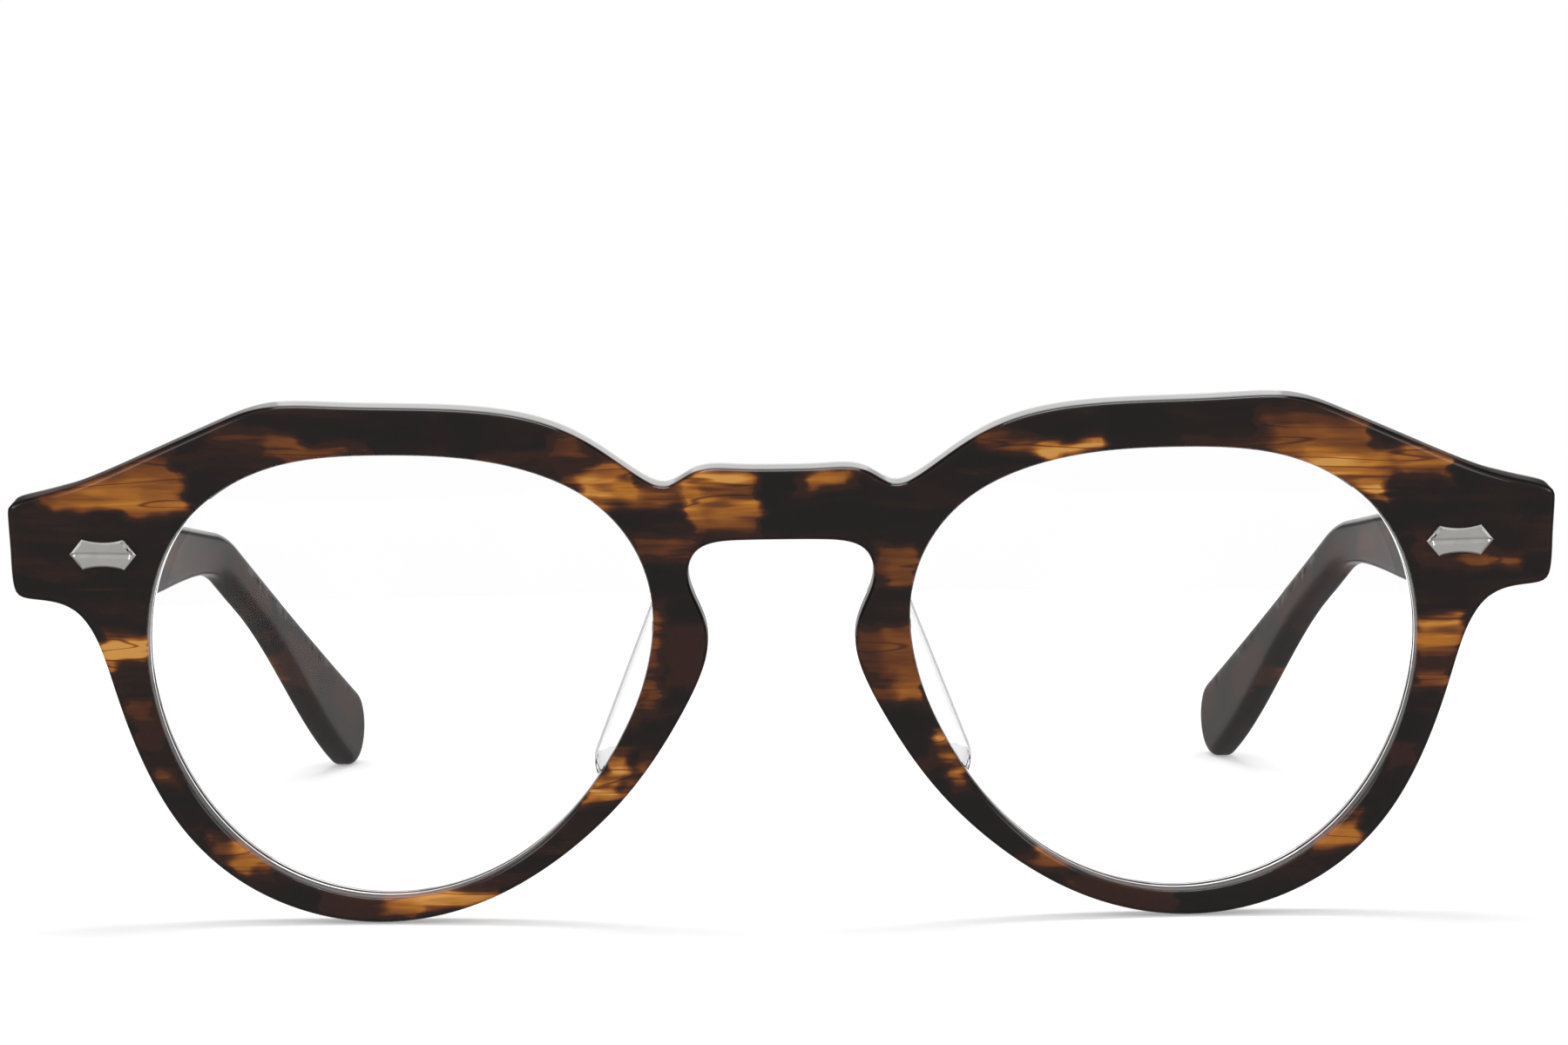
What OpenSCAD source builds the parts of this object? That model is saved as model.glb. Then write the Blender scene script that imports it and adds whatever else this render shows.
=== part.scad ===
// Keyhole-bridge acetate eyeglasses: clear lenses, riveted plaques and two folding temples.
// X runs across the face with the wearer's left at +X, Y runs back along the temples, Z is up.
// They stand open on the rims and the temple tips, with the origin under their middle.

/* [Lens openings] */
// Width of each lens opening
opening_w = 47.8; // [44:0.1:52]
// Height of each lens opening
opening_h = 42.4; // [38:0.1:46]
// Width of acetate and nose gap between the two lens openings
nose_w = 24.3; // [22:0.1:28]

/* [Front] */
// Thickness of the acetate front
front_t = 4; // [3.6:0.1:5]
// Height of the brow above a lens opening
brow_h = 5; // [3:0.1:7]
// Height of the rim below a lens opening
rim_h = 2.9; // [2:0.1:5]
// Width of the rim beside a lens opening
rim_side = 3.1; // [2.6:0.1:5]
// Radius that the front is bent to, across the face
wrap_r = 650; // [450:10:1200]
// Forward lean of the front's top, in degrees
lean = 8; // [4:0.5:12]

/* [Bridge] */
// Height of the bridge bar over the nose
bridge_h = 6.7; // [4.5:0.1:8]
// Drop from the top of the brow to the top of the bridge
bridge_drop = 6; // [4:0.1:8]
// Length of the flat top of the bridge
bridge_flat = 16; // [13:0.1:18]
// Width of the keyhole at its widest
keyhole_w = 17.2; // [15:0.1:19]
// Width of the keyhole at its neck
neck_w = 13.4; // [11:0.1:15]
// Height of the keyhole from its neck up to the bridge
keyhole_h = 9.2; // [7:0.1:11]
// Depth of the notch at each end of the bridge's top
notch_d = 2.4; // [1:0.1:3.2]

/* [End pieces] */
// Length of an end piece beyond a lens opening
end_l = 12.85; // [12:0.05:16]
// Height of each end piece
end_h = 9.4; // [8.6:0.1:12]
// Drop from the top of the brow to the top corner of an end piece
end_drop = 9.2; // [6:0.1:10]

/* [Lenses] */
// Thickness of each lens
lens_t = 1.8; // [1.4:0.1:2.2]
// Radius of the front surface of each lens
lens_r = 200; // [130:5:400]
// Depth of the front of a lens behind the face of the front, at the lens's middle
lens_seat = 0.45; // [0.2:0.05:0.7]
// Depth of the groove round each lens opening
groove_d = 0.6; // [0.4:0.05:0.9]
// Width of the tongue round each lens
tongue_w = 0.8; // [0.6:0.05:1]
// Play between a lens and its rim
lens_gap = 0.05; // [0.02:0.01:0.1]

/* [Nose pads] */
// Length of each nose pad
pad_l = 20.4; // [15:0.1:22]
// Width of each nose pad at its seat
pad_w = 4.8; // [4:0.1:7.5]
// Depth of each nose pad behind the front
pad_d = 6; // [3:0.1:8]
// Splay of the nose pads away from upright, in degrees
pad_splay = 21; // [15:1:27]

/* [Plaques] */
// Length of each plaque between its two tips
plaque_l = 6.4; // [5.5:0.1:7]
// Height of each plaque at its corners
plaque_h = 2.9; // [2.2:0.1:3.6]
// Thickness of each plaque
plaque_t = 0.6; // [0.4:0.05:0.9]
// Distance of a front plaque's middle from the end of the front
plaque_in = 9.1; // [8.6:0.1:10]
// Depth of the recess that each plaque is set in
plaque_seat = 0.1; // [0.05:0.05:0.2]
// Distance between the two pins of a front plaque
pin_pitch = 3; // [2.6:0.1:3.4]
// Radius of the pins
pin_r = 0.5; // [0.4:0.05:0.6]
// Radial play of a pin in its hole
pin_gap = 0.02; // [0.01:0.01:0.05]

/* [Hinges] */
// Radius of the hinge knuckles
knuckle_r = 1.3; // [1.1:0.05:1.5]
// Height of one knuckle
knuckle_h = 1.3; // [1:0.05:1.5]
// Play between one knuckle and the next
knuckle_gap = 0.06; // [0.04:0.01:0.1]
// Radius of the hinge screw
screw_r = 0.6; // [0.45:0.05:0.7]
// Radial play of the screw in the knuckles
screw_gap = 0.05; // [0.03:0.01:0.08]
// Radius of the screw's head
head_r = 1.1; // [0.9:0.05:1.3]
// Height of the screw's head
head_h = 0.6; // [0.4:0.05:0.8]
// Thickness of a hinge leaf
leaf_t = 0.9; // [0.7:0.05:1.1]
// Depth of the recess that each hinge leaf is let into
leaf_seat = 0.6; // [0.4:0.05:0.8]
// Length of the front leaf on the back of the end piece
front_leaf_l = 6.6; // [6:0.1:7]
// Length of the temple leaf behind the hinge axis
temple_leaf_l = 12.5; // [10.5:0.1:14]
// Distance between the two pins of a temple leaf
temple_pin_pitch = 3.6; // [3:0.1:4.2]

/* [Temples] */
// Distance from the end of the front to the inner face of a temple, at its hinge
temple_inset = 4.8; // [4.4:0.1:5.4]
// Thickness of a temple at its hinge
temple_t = 3.9; // [3.4:0.1:4.4]
// Thickness of a temple behind the ear
ear_t = 3.1; // [2.2:0.1:3.4]
// Height of a temple where it starts to narrow
shoulder_h = 8.6; // [7:0.1:9.5]
// Height of a temple at its waist, where it meets the ear
waist_h = 4.8; // [3.4:0.1:6]
// Height of a temple tip
tip_h = 9.4; // [6:0.1:11]
// Length over which a temple narrows to its waist
taper_l = 33; // [12:1:40]
// Length of a temple's waist
waist_l = 19; // [2:0.5:24]
// Length of the tip behind the ear
tip_l = 5; // [5:0.5:14]
// Length of a temple from its hinge to the bend
bend_at = 66; // [50:0.5:70]
// Radius of the bend over the ear
bend_r = 29; // [26:1:60]
// Length of a temple from the bend to the end of the tip
ear_l = 61; // [56:0.5:72]
// Slope of the front part of a temple's top edge, in degrees below level
temple_slope = 7; // [2:0.5:9]
// How far a temple tip stands further in than the hinge
toe_in = 16; // [8:0.1:18]
// Gap between the front end of a temple and the end piece
butt_gap = 0.35; // [0.3:0.05:0.5]
// Thickness of the wire inside a temple
core_w = 1.2; // [0.9:0.1:1.4]
// Distance of the wire's end from the end of the tip
core_end = 14; // [10:0.5:18]

/* [Hidden] */
$fn = 48;
eps = 0.01;
far = 40;

// Middle of a lens opening on the face of the front, across and up
lens_u = (nose_w + opening_w) / 2;
lens_v = rim_h + opening_h / 2;
brow_v = rim_h + opening_h + brow_h;
bridge_v = brow_v - bridge_drop;
arch_v = bridge_v - bridge_h;
end_v = brow_v - end_drop;
end_low = end_v - end_h;
end_u = nose_w / 2 + opening_w + end_l;

// Lens opening: control points in halves of its width and height, from the top towards the nose
OPENING = [[0.04, 1.03], [-0.38, 1.015], [-0.77, 0.865], [-0.975, 0.575], [-1.02, 0.26],
    [-0.955, -0.08], [-0.775, -0.485], [-0.445, -0.875], [0.055, -1.055], [0.565, -0.9],
    [0.89, -0.48], [1.025, 0.04], [0.975, 0.495], [0.8, 0.805], [0.465, 1.01]];
// Lower rim: control points in halves of the opening with its rim, from the temple side to the nose
RIM = [[1.05, 0.15], [0.995, -0.13], [0.84, -0.58], [0.55, -0.885], [0.13, -1.02], [-0.34, -0.91],
    [-0.77, -0.53], [-0.99, -0.14]];

function rim(f) = [lens_u + f.x * (opening_w / 2 + rim_side), lens_v + f.y * (opening_h / 2 + rim_h)];
function brow(fx, drop) = [lens_u + fx * opening_w / 2, brow_v - drop];
function end_piece(fx, fy) = [end_u - fx * end_l, end_low + fy * end_h];
function keyhole(fx, fv) = [fx * keyhole_w / 2, arch_v - fv * keyhole_h];

// Half of the front's outline, from the middle of the bridge's top round to the keyhole's arch
HALF = concat(
    [[0, bridge_v], [bridge_flat / 4, bridge_v], [bridge_flat / 2, bridge_v + notch_d / 6],
     [0.66 * bridge_flat, bridge_v - notch_d]],
    [brow(-0.915, bridge_drop), brow(-0.7, 0.35 * bridge_drop), brow(-0.44, 0.065 * bridge_drop),
     brow(-0.13, 0), brow(0.21, 0), brow(0.5, -0.053 * end_drop), brow(0.69, 0.164 * end_drop),
     brow(1, 0.525 * end_drop)],
    [end_piece(0.45, 1.12), end_piece(0, 1.01), end_piece(-0.01, 0.92), end_piece(0, 0.52),
     end_piece(0, 0.09), end_piece(0.08, 0), end_piece(0.45, 0)],
    [for (f = RIM) rim(f)],
    [[0.85 * neck_w / 2, arch_v - keyhole_h], keyhole(1.06, 0.5), keyhole(0.98, 0.02),
     keyhole(0.4, 0), keyhole(0, 0)]);

// Uniform cubic B-spline: the point at t between control points b and c, with steps to a span
STEPS = 4;
function spline_at(a, b, c, d, t) =
    (pow(1 - t, 3) * a + (3 * pow(t, 3) - 6 * t * t + 4) * b
     + (-3 * pow(t, 3) + 3 * t * t + 3 * t + 1) * c + pow(t, 3) * d) / 6;
function closed_curve(P) = let (n = len(P))
    [for (i = [0 : n - 1], j = [0 : STEPS - 1])
        spline_at(P[(i + n - 1) % n], P[i], P[(i + 1) % n], P[(i + 2) % n], j / STEPS)];
function open_curve(P) = let (n = len(P))
    [for (i = [1 : n - 3], j = [0 : i == n - 3 ? STEPS : STEPS - 1])
        spline_at(P[i - 1], P[i], P[i + 1], P[i + 2], j / STEPS)];
function flipped(p) = [-p.x, p.y];
function backwards(P) = [for (i = [len(P) - 1 : -1 : 0]) P[i]];

half_curve = open_curve(concat([flipped(HALF[1])], HALF, [flipped(HALF[len(HALF) - 2])]));
outline = concat(half_curve, [for (p = backwards(half_curve)) if (p.x > eps) flipped(p)]);

// A closed curve that runs anticlockwise, grown outwards by g, square to itself
function grown(P, g) = let (n = len(P))
    [for (i = [0 : n - 1]) let (d = P[(i + 1) % n] - P[(i + n - 1) % n])
        P[i] + g * [d.y, -d.x] / norm(d)];
opening_curve = closed_curve([for (f = OPENING) [f.x * opening_w / 2, f.y * opening_h / 2]]);
function opening_pts(g) = grown(opening_curve, g);

// Place of a point of the front: u across, v up its face, n behind the face, before it is centred
function wrap_deg(u) = u / wrap_r * 180 / PI;
function back_of(u, n) = wrap_r - (wrap_r - n) * cos(wrap_deg(u));
function front_y(u, v, n) = back_of(u, n) * cos(lean) - v * sin(lean);
function front_z(u, v, n) = back_of(u, n) * sin(lean) + v * cos(lean) + stand_z;
stand_z = -min([for (p = outline) back_of(p.x, 0) * sin(lean) + p.y * cos(lean)]);

// Hinge axis, upright, just inside the temple and behind the end piece
leaf_h = 5 * knuckle_h + 4 * knuckle_gap;
temple_in = end_u - temple_inset;
hinge_v = end_low + end_h / 2;
hinge_in = 0.5;
leaf_over = 0.8;
hinge_x = temple_in - knuckle_r - hinge_in;
hinge_u = hinge_x * wrap_r / (wrap_r - front_t);
leaf_back = front_t + leaf_t - leaf_seat;
hinge_z = front_z(hinge_u, hinge_v, leaf_back);
knuckle_clear = 0.25;
hinge_y = front_y(hinge_u, hinge_v, leaf_back) + tan(lean) * leaf_h / 2 + knuckle_r + knuckle_clear;

// Temple seen from the side: its top edge and its height at a length s behind the hinge
function ease(t) = let (c = min(1, max(0, t))) c * c * (3 - 2 * c);
function mix(a, b, t) = a + (b - a) * t;
edge_step = 0.1;
ridge_z = front_z(temple_in + temple_t / 2, end_v - edge_step, front_t);
function bend_len(drop) = bend_r * (drop - temple_slope) * PI / 180;
function heading(s, drop) = min(drop, temple_slope + max(0, s - bend_at) / bend_r * 180 / PI);
function ridge(s, drop) =
    let (straight = min(s, bend_at), h = heading(s, drop), rest = max(0, s - bend_at - bend_len(drop)))
    [hinge_y + straight * cos(temple_slope) + bend_r * (sin(h) - sin(temple_slope)) + rest * cos(h),
     ridge_z - straight * sin(temple_slope) - bend_r * (cos(temple_slope) - cos(h)) - rest * sin(h)];
function temple_len(drop) = bend_at + bend_len(drop) + ear_l;
function height(s, end) =
    s < bend_at - taper_l ? mix(end_h - 2 * edge_step, shoulder_h, s / (bend_at - taper_l))
    : s < bend_at + waist_l ? mix(shoulder_h, waist_h, ease((s - bend_at + taper_l) / taper_l))
    : mix(waist_h, tip_h, ease((s - bend_at - waist_l) / (end - tip_l - bend_at - waist_l)));
function below(s, depth, drop) = ridge(s, drop) - depth * [sin(heading(s, drop)), cos(heading(s, drop))];
function round_tip(s, r, drop) = [for (a = [75 : -15 : -75])
    below(s, r, drop) + r * [cos(a - drop), sin(a - drop)]];
temple_stub = 1.5 * front_t;
function temple_side(drop) =
    let (end = temple_len(drop), r = tip_h / 2, last = end - r, n = 56,
         stations = [for (i = [0 : n]) mix(-temple_stub, last, i / n)])
    concat([for (s = stations) ridge(s, drop)], round_tip(last, r, drop),
        [for (s = backwards(stations)) below(s, height(s, end), drop)]);
function lowest(drop) = min([for (p = temple_side(drop)) p.y]);
// Slope behind the ear at which the tips stand on the same surface as the rims
function level_drop(lo, hi, tries) = let (m = (lo + hi) / 2)
    tries == 0 ? m : lowest(m) > 0 ? level_drop(m, hi, tries - 1) : level_drop(lo, m, tries - 1);
steepest = 50;
halvings = 18;
drop = level_drop(temple_slope, steepest, halvings);
side_pts = temple_side(drop);
tip_y = max([for (p = side_pts) p.x]);

// Temple seen from above: its faces at a distance y back
reach = tip_y - hinge_y;
toe_from = hinge_y + temple_leaf_l / 2;
function toe(y) = toe_in * pow(max(0, y - toe_from) / (tip_y - toe_from), 1.3);
function thick(y) = mix(temple_t, ear_t, ease((y - hinge_y) / (reach / 2)));
function inner_x(y) = temple_in - toe(y);
plan_ys = [for (i = [0 : 24]) mix(hinge_y - temple_stub, tip_y + 1, i / 24)];
plan_pts = concat([for (y = plan_ys) [inner_x(y), y]],
    [for (y = backwards(plan_ys)) [inner_x(y) + thick(y), y]]);

brow_y = min([for (p = outline) front_y(p.x, p.y, 0)]);
mid_y = (brow_y + tip_y) / 2;

// Pins and plaques: the front's on the end piece, the temple's on the middle of its leaf
temple_pin_y = hinge_y + (knuckle_r + temple_leaf_l) / 2;
temple_plaque_x = inner_x(temple_pin_y) + thick(temple_pin_y) - plaque_seat;
temple_leaf_x = temple_in + leaf_seat;
plaque_u = end_u - plaque_in;
plaque_v = hinge_v;

// Places that the pieces are drawn in
module on_side(side) mirror([side < 0 ? 1 : 0, 0, 0]) children();
module centred() translate([0, -mid_y, 0]) children();
module standing() centred() translate([0, 0, stand_z]) rotate([lean, 0, 0]) children();
module on_front(u, v)
    translate([0, wrap_r, v]) rotate([0, 0, wrap_deg(u)]) translate([0, -wrap_r, 0]) children();
module from_front(y0, y1) translate([0, y1, 0]) rotate([90, 0, 0]) linear_extrude(y1 - y0) children();
module at_hinge() centred() translate([hinge_x, hinge_y, hinge_z]) children();
module at_temple_leaf() centred() translate([temple_leaf_x, temple_pin_y, hinge_z]) children();

// Front
module bent_sheet() translate([0, wrap_r, -far]) difference() {
    cylinder(r = wrap_r, h = 3 * far, $fn = 720);
    translate([0, 0, -eps]) cylinder(r = wrap_r - front_t, h = 3 * far + 2 * eps, $fn = 720);
}
module blank() from_front(-1, 3 * front_t)
    polygon([for (p = outline) [wrap_r * sin(wrap_deg(p.x)), p.y]]);
module lens_zone(g, t0, t1) intersection() {
    from_front(-front_t, 2 * front_t) polygon(opening_pts(g));
    translate([0, lens_seat + lens_r, 0]) difference() {
        sphere(r = lens_r - t0, $fn = 240);
        sphere(r = lens_r - t1, $fn = 240);
    }
}
module at_pins(pitch) for (s = [-1, 1]) translate([s * pitch / 2, 0, 0]) rotate([-90, 0, 0]) children();
module leaf_plate(g)
    translate([hinge_u - plaque_u + leaf_over - front_leaf_l - g, leaf_back - leaf_t, -leaf_h / 2 - g])
        cube([front_leaf_l + 2 * g, leaf_t, leaf_h + 2 * g]);
module front_cuts() {
    groove_lo = (lens_t - tongue_w) / 2 - lens_gap;
    on_front(lens_u, lens_v) {
        from_front(-front_t, 3 * front_t) polygon(opening_pts(0));
        lens_zone(groove_d, groove_lo, lens_t - groove_lo);
    }
    on_front(plaque_u, plaque_v) {
        at_pins(pin_pitch) translate([0, 0, -front_t]) cylinder(r = pin_r + pin_gap, h = 3 * front_t);
        from_front(-front_t, plaque_seat) plaque_shape(pin_gap);
        leaf_plate(lens_gap);
    }
}
module front_frame() color("#2a1a14") standing() difference() {
    intersection() {
        blank();
        bent_sheet();
    }
    for (s = [-1, 1]) on_side(s) front_cuts();
}

// Lenses and nose pads
module lens(side) color("#e8f0f2", 0.3) on_side(side) standing() on_front(lens_u, lens_v) {
    lens_zone(-lens_gap, 0, lens_t);
    lens_zone(groove_d - lens_gap, (lens_t - tongue_w) / 2, (lens_t + tongue_w) / 2);
}
pad_over = 0.6;
pad_drop = 1.45;
pad_u = lens_u - opening_w / 2 + pad_over;
pad_v = lens_v - pad_drop;
pad_lift = 0.05;
pad_seat = 0.6;
pad_ridge_r = 1.7;
pad_ridge_in = 5.5;
pad_ridge_out = 0.8;
module nose_pad(side) color("#f4f4f0", 0.6) on_side(side) standing() on_front(pad_u, pad_v)
    translate([0, front_t + pad_lift, 0]) rotate([0, -pad_splay, 0]) hull() {
        for (s = [-1, 1]) translate([0, 0, s * (pad_l - pad_w) / 2]) rotate([-90, 0, 0])
            cylinder(r = pad_w / 2, h = pad_seat, $fn = 32);
        for (s = [-1, 1]) translate([pad_ridge_out, pad_d - pad_ridge_r, s * (pad_l / 2 - pad_ridge_in)])
            sphere(r = pad_ridge_r, $fn = 32);
    }

// Plaques and pins
module plaque_shape(g) {
    l = plaque_l / 2;
    h = plaque_h / 2;
    polygon(grown([[l, 0], [0.62 * l, h], [0, 0.8 * h], [-0.62 * l, h],
        [-l, 0], [-0.62 * l, -h], [0, -0.8 * h], [0.62 * l, -h]], g));
}
plaque_groove = 0.3;
module plaque() difference() {
    from_front(plaque_seat - plaque_t, plaque_seat) plaque_shape(0);
    translate([0, plaque_seat - plaque_t, 0]) rotate([45, 0, 0])
        cube([2 * plaque_l, plaque_groove, plaque_groove], center = true);
}
module front_plaque(side) color("#c9cac6") on_side(side) standing() on_front(plaque_u, plaque_v) plaque();
module front_rivets(side) color("#b8b9b6") on_side(side) standing() on_front(plaque_u, plaque_v)
    at_pins(pin_pitch) translate([0, 0, plaque_seat]) cylinder(r = pin_r, h = leaf_back - plaque_seat);

// Hinges
module knuckle(i) translate([0, 0, (i - 2) * (knuckle_h + knuckle_gap)])
    cylinder(r = knuckle_r, h = knuckle_h, center = true);
module web(i, x0, x1, y0, y1) translate([x0, y0, (i - 2) * (knuckle_h + knuckle_gap) - knuckle_h / 2])
    cube([x1 - x0, y1 - y0, knuckle_h]);
module screw_hole() cylinder(r = screw_r + screw_gap, h = 2 * leaf_h, center = true);
web_out = leaf_over / 2;
web_on_leaf = 1;
function web_reach(i) = knuckle_r + knuckle_clear + leaf_t / 2
    + tan(lean) * (leaf_h / 2 + (i - 2) * knuckle_h);
module hinge_front_leaf(side) color("#a9aaa8") on_side(side) difference() {
    union() {
        standing() on_front(plaque_u, plaque_v) leaf_plate(0);
        at_hinge() for (i = [0, 2, 4]) {
            knuckle(i);
            web(i, -knuckle_r, web_out, -web_reach(i), 0);
        }
    }
    at_hinge() screw_hole();
    standing() on_front(plaque_u, plaque_v)
        at_pins(pin_pitch) cylinder(r = pin_r + pin_gap, h = 3 * front_t);
}
module hinge_temple_leaf(side) color("#a9aaa8") on_side(side) difference() {
    union() {
        centred() translate([temple_leaf_x - leaf_t, hinge_y + knuckle_r, hinge_z - leaf_h / 2])
            cube([leaf_t, temple_leaf_l - knuckle_r, leaf_h]);
        at_hinge() for (i = [1, 3]) {
            knuckle(i);
            web(i, 0, temple_leaf_x - hinge_x, 0, knuckle_r + web_on_leaf);
        }
    }
    at_hinge() screw_hole();
    temple_pins(pin_r + pin_gap, -2 * leaf_t, temple_t);
}
screw_slot = 0.3;
module hinge_screw(side) color("#d8d8d4") on_side(side) at_hinge() {
    cylinder(r = screw_r, h = leaf_h, center = true);
    translate([0, 0, leaf_h / 2]) difference() {
        cylinder(r = head_r, h = head_h);
        translate([0, 0, head_h]) cube([3 * head_r, screw_slot, head_h], center = true);
    }
}

// Temples
module temple_pins(r, x0, x1) at_temple_leaf() for (s = [-1, 1])
    translate([x0, s * temple_pin_pitch / 2, 0]) rotate([0, 90, 0]) cylinder(r = r, h = x1 - x0);
module at_temple_plaque() centred() translate([temple_plaque_x, temple_pin_y, hinge_z])
    rotate([0, 0, 90]) children();
module from_side() rotate([90, 0, 90]) linear_extrude(2 * temple_in) children();
module from_above() linear_extrude(2 * temple_in) children();
module before_butt() standing() on_front(temple_in, 0)
    translate([-far, -far, -far]) cube([2 * far, far + front_t + butt_gap, 4 * far]);
module core_wire() centred() intersection() {
    from_side() polygon(concat([for (s = core_stations) below(s, (waist_h - core_w) / 2, drop)],
        [for (s = backwards(core_stations)) below(s, (waist_h + core_w) / 2, drop)]));
    from_above() polygon(concat([for (y = core_ys) [inner_x(y) + (thick(y) - core_w) / 2, y]],
        [for (y = backwards(core_ys)) [inner_x(y) + (thick(y) + core_w) / 2, y]]));
}
core_from = temple_leaf_l + core_w;
core_to = temple_len(drop) - core_end;
core_stations = [for (i = [0 : 20]) mix(core_from, core_to, i / 20)];
core_ys = [for (i = [0 : 20]) mix(hinge_y, tip_y, i / 20)];
module temple(side) color("#33241d") on_side(side) difference() {
    centred() intersection() {
        from_side() polygon(side_pts);
        from_above() polygon(plan_pts);
    }
    before_butt();
    centred() translate([temple_leaf_x - far, hinge_y - far, hinge_z - leaf_h / 2 - lens_gap])
        cube([far, far + temple_leaf_l + lens_gap, leaf_h + 2 * lens_gap]);
    temple_pins(pin_r + pin_gap, -eps, 2 * temple_t);
    at_temple_plaque() from_front(-temple_t, 0) plaque_shape(pin_gap);
    core_wire();
}
module temple_core(side) color("#9a9a98") on_side(side) core_wire();
module temple_rivets(side) color("#b8b9b6") on_side(side)
    temple_pins(pin_r, -leaf_t, temple_plaque_x - temple_leaf_x);
module temple_plaque(side) color("#c9cac6") on_side(side) at_temple_plaque()
    translate([0, -plaque_seat, 0]) plaque();

front_frame();
lens(1);  // left_lens
lens(-1);  // right_lens
nose_pad(1);  // left_nose_pad
nose_pad(-1);  // right_nose_pad
front_plaque(1);  // left_front_plaque
front_plaque(-1);  // right_front_plaque
front_rivets(1);  // left_front_rivets
front_rivets(-1);  // right_front_rivets
hinge_front_leaf(1);  // left_hinge_front_leaf
hinge_front_leaf(-1);  // right_hinge_front_leaf
hinge_screw(1);  // left_hinge_screw
hinge_screw(-1);  // right_hinge_screw
hinge_temple_leaf(1);  // left_hinge_temple_leaf
hinge_temple_leaf(-1);  // right_hinge_temple_leaf
temple(1);  // left_temple
temple(-1);  // right_temple
temple_core(1);  // left_temple_core
temple_core(-1);  // right_temple_core
temple_rivets(1);  // left_temple_rivets
temple_rivets(-1);  // right_temple_rivets
temple_plaque(1);  // left_temple_plaque
temple_plaque(-1);  // right_temple_plaque
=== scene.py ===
import math

import bmesh
import bpy
import numpy as np
from mathutils import Matrix, Vector
from mathutils.geometry import delaunay_2d_cdt


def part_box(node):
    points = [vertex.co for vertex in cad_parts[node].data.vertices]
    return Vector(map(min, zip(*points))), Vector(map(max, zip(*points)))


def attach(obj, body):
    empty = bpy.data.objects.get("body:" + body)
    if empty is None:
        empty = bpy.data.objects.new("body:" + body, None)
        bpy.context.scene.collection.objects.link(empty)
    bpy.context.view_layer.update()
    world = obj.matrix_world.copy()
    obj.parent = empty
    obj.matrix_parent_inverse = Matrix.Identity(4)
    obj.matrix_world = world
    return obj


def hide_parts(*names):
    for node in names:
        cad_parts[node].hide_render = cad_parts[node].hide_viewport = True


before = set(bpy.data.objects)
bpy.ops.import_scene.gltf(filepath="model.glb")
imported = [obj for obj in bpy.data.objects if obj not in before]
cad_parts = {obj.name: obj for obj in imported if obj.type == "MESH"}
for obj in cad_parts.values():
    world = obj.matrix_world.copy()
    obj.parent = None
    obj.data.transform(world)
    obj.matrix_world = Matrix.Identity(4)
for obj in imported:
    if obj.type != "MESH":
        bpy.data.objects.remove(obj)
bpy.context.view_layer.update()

# Sizes in millimetres and angles in radians, as the solids have them
MM = 0.001
# Lens openings, and the acetate and nose gap between them
OPENING_W, OPENING_H, NOSE_W = 47.8, 42.4, 24.3
# Thickness of the front, and its width above, below and beside the openings
FRONT_T, BROW_H, RIM_H, RIM_SIDE = 4.0, 5.0, 2.9, 3.1
# Radius that the front is bent to across the face, and the forward lean of its top
WRAP_R, LEAN = 650.0, math.radians(8)
# Bridge bar: height, drop below the brow, length of its flat top, and depth of the notches there
BRIDGE_H, BRIDGE_DROP, BRIDGE_FLAT, NOTCH_D = 6.7, 6.0, 16.0, 2.4
# Keyhole: width at its widest and at its neck, and height
KEYHOLE_W, NECK_W, KEYHOLE_H = 17.2, 13.4, 9.2
# End pieces: length beyond the opening, height, and drop of their top corner below the brow
END_L, END_H, END_DROP = 12.85, 9.4, 9.2
# Lenses: thickness, radius of the front surface, and its depth behind the front's face
LENS_T, LENS_R, LENS_SEAT = 1.8, 200.0, 0.45
# Groove round an opening, the lens's tongue in it, and the play between the two
GROOVE_D, TONGUE_W, LENS_GAP = 0.6, 0.8, 0.05
# Nose pads: length, width at the seat, depth behind the front, and splay from upright
PAD_L, PAD_W, PAD_D, PAD_SPLAY = 20.4, 4.8, 6.0, math.radians(21)
# Middle of a pad: how far past the opening's edge, and how far below the lens's middle
PAD_PAST, PAD_BELOW = 0.6, 1.45
# Plaques: length, height, thickness, distance from the end of the front, and recess
PLAQUE_L, PLAQUE_H, PLAQUE_T, PLAQUE_IN, PLAQUE_SEAT = 6.4, 2.9, 0.6, 9.1, 0.1
# Pins: radius, and the distance between two of them on the front and on a temple
PIN_R, PIN_PITCH, TEMPLE_PIN_PITCH = 0.5, 3.0, 3.6
# Hinge leaves: thickness, recess, and length of a temple's leaf behind the hinge
LEAF_T, LEAF_SEAT, TEMPLE_LEAF_L = 0.9, 0.6, 12.5
# Temples: inner face from the end of the front, thickness at the hinge and behind the ear
TEMPLE_INSET, TEMPLE_T, EAR_T = 4.8, 3.9, 3.1
# Height of a temple where it starts to narrow, at its waist and at its tip
SHOULDER_H, WAIST_H, TIP_H = 8.6, 4.8, 9.4
# Lengths along a temple over which it narrows, stays at its waist and rounds off
TAPER_L, WAIST_L, TIP_L = 33.0, 19.0, 5.0
# Length of a temple up to the bend over the ear, radius of the bend, and length behind it
BEND_AT, BEND_R, EAR_L = 66.0, 29.0, 61.0
# Slope of a temple's top edge, how far its tip stands further in, and its gap to the end piece
SLOPE, TOE_IN, BUTT_GAP = math.radians(7), 16.0, 0.35
# How far the edges of a temple stand back from those of the end piece
EDGE_STEP = 0.1

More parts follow.
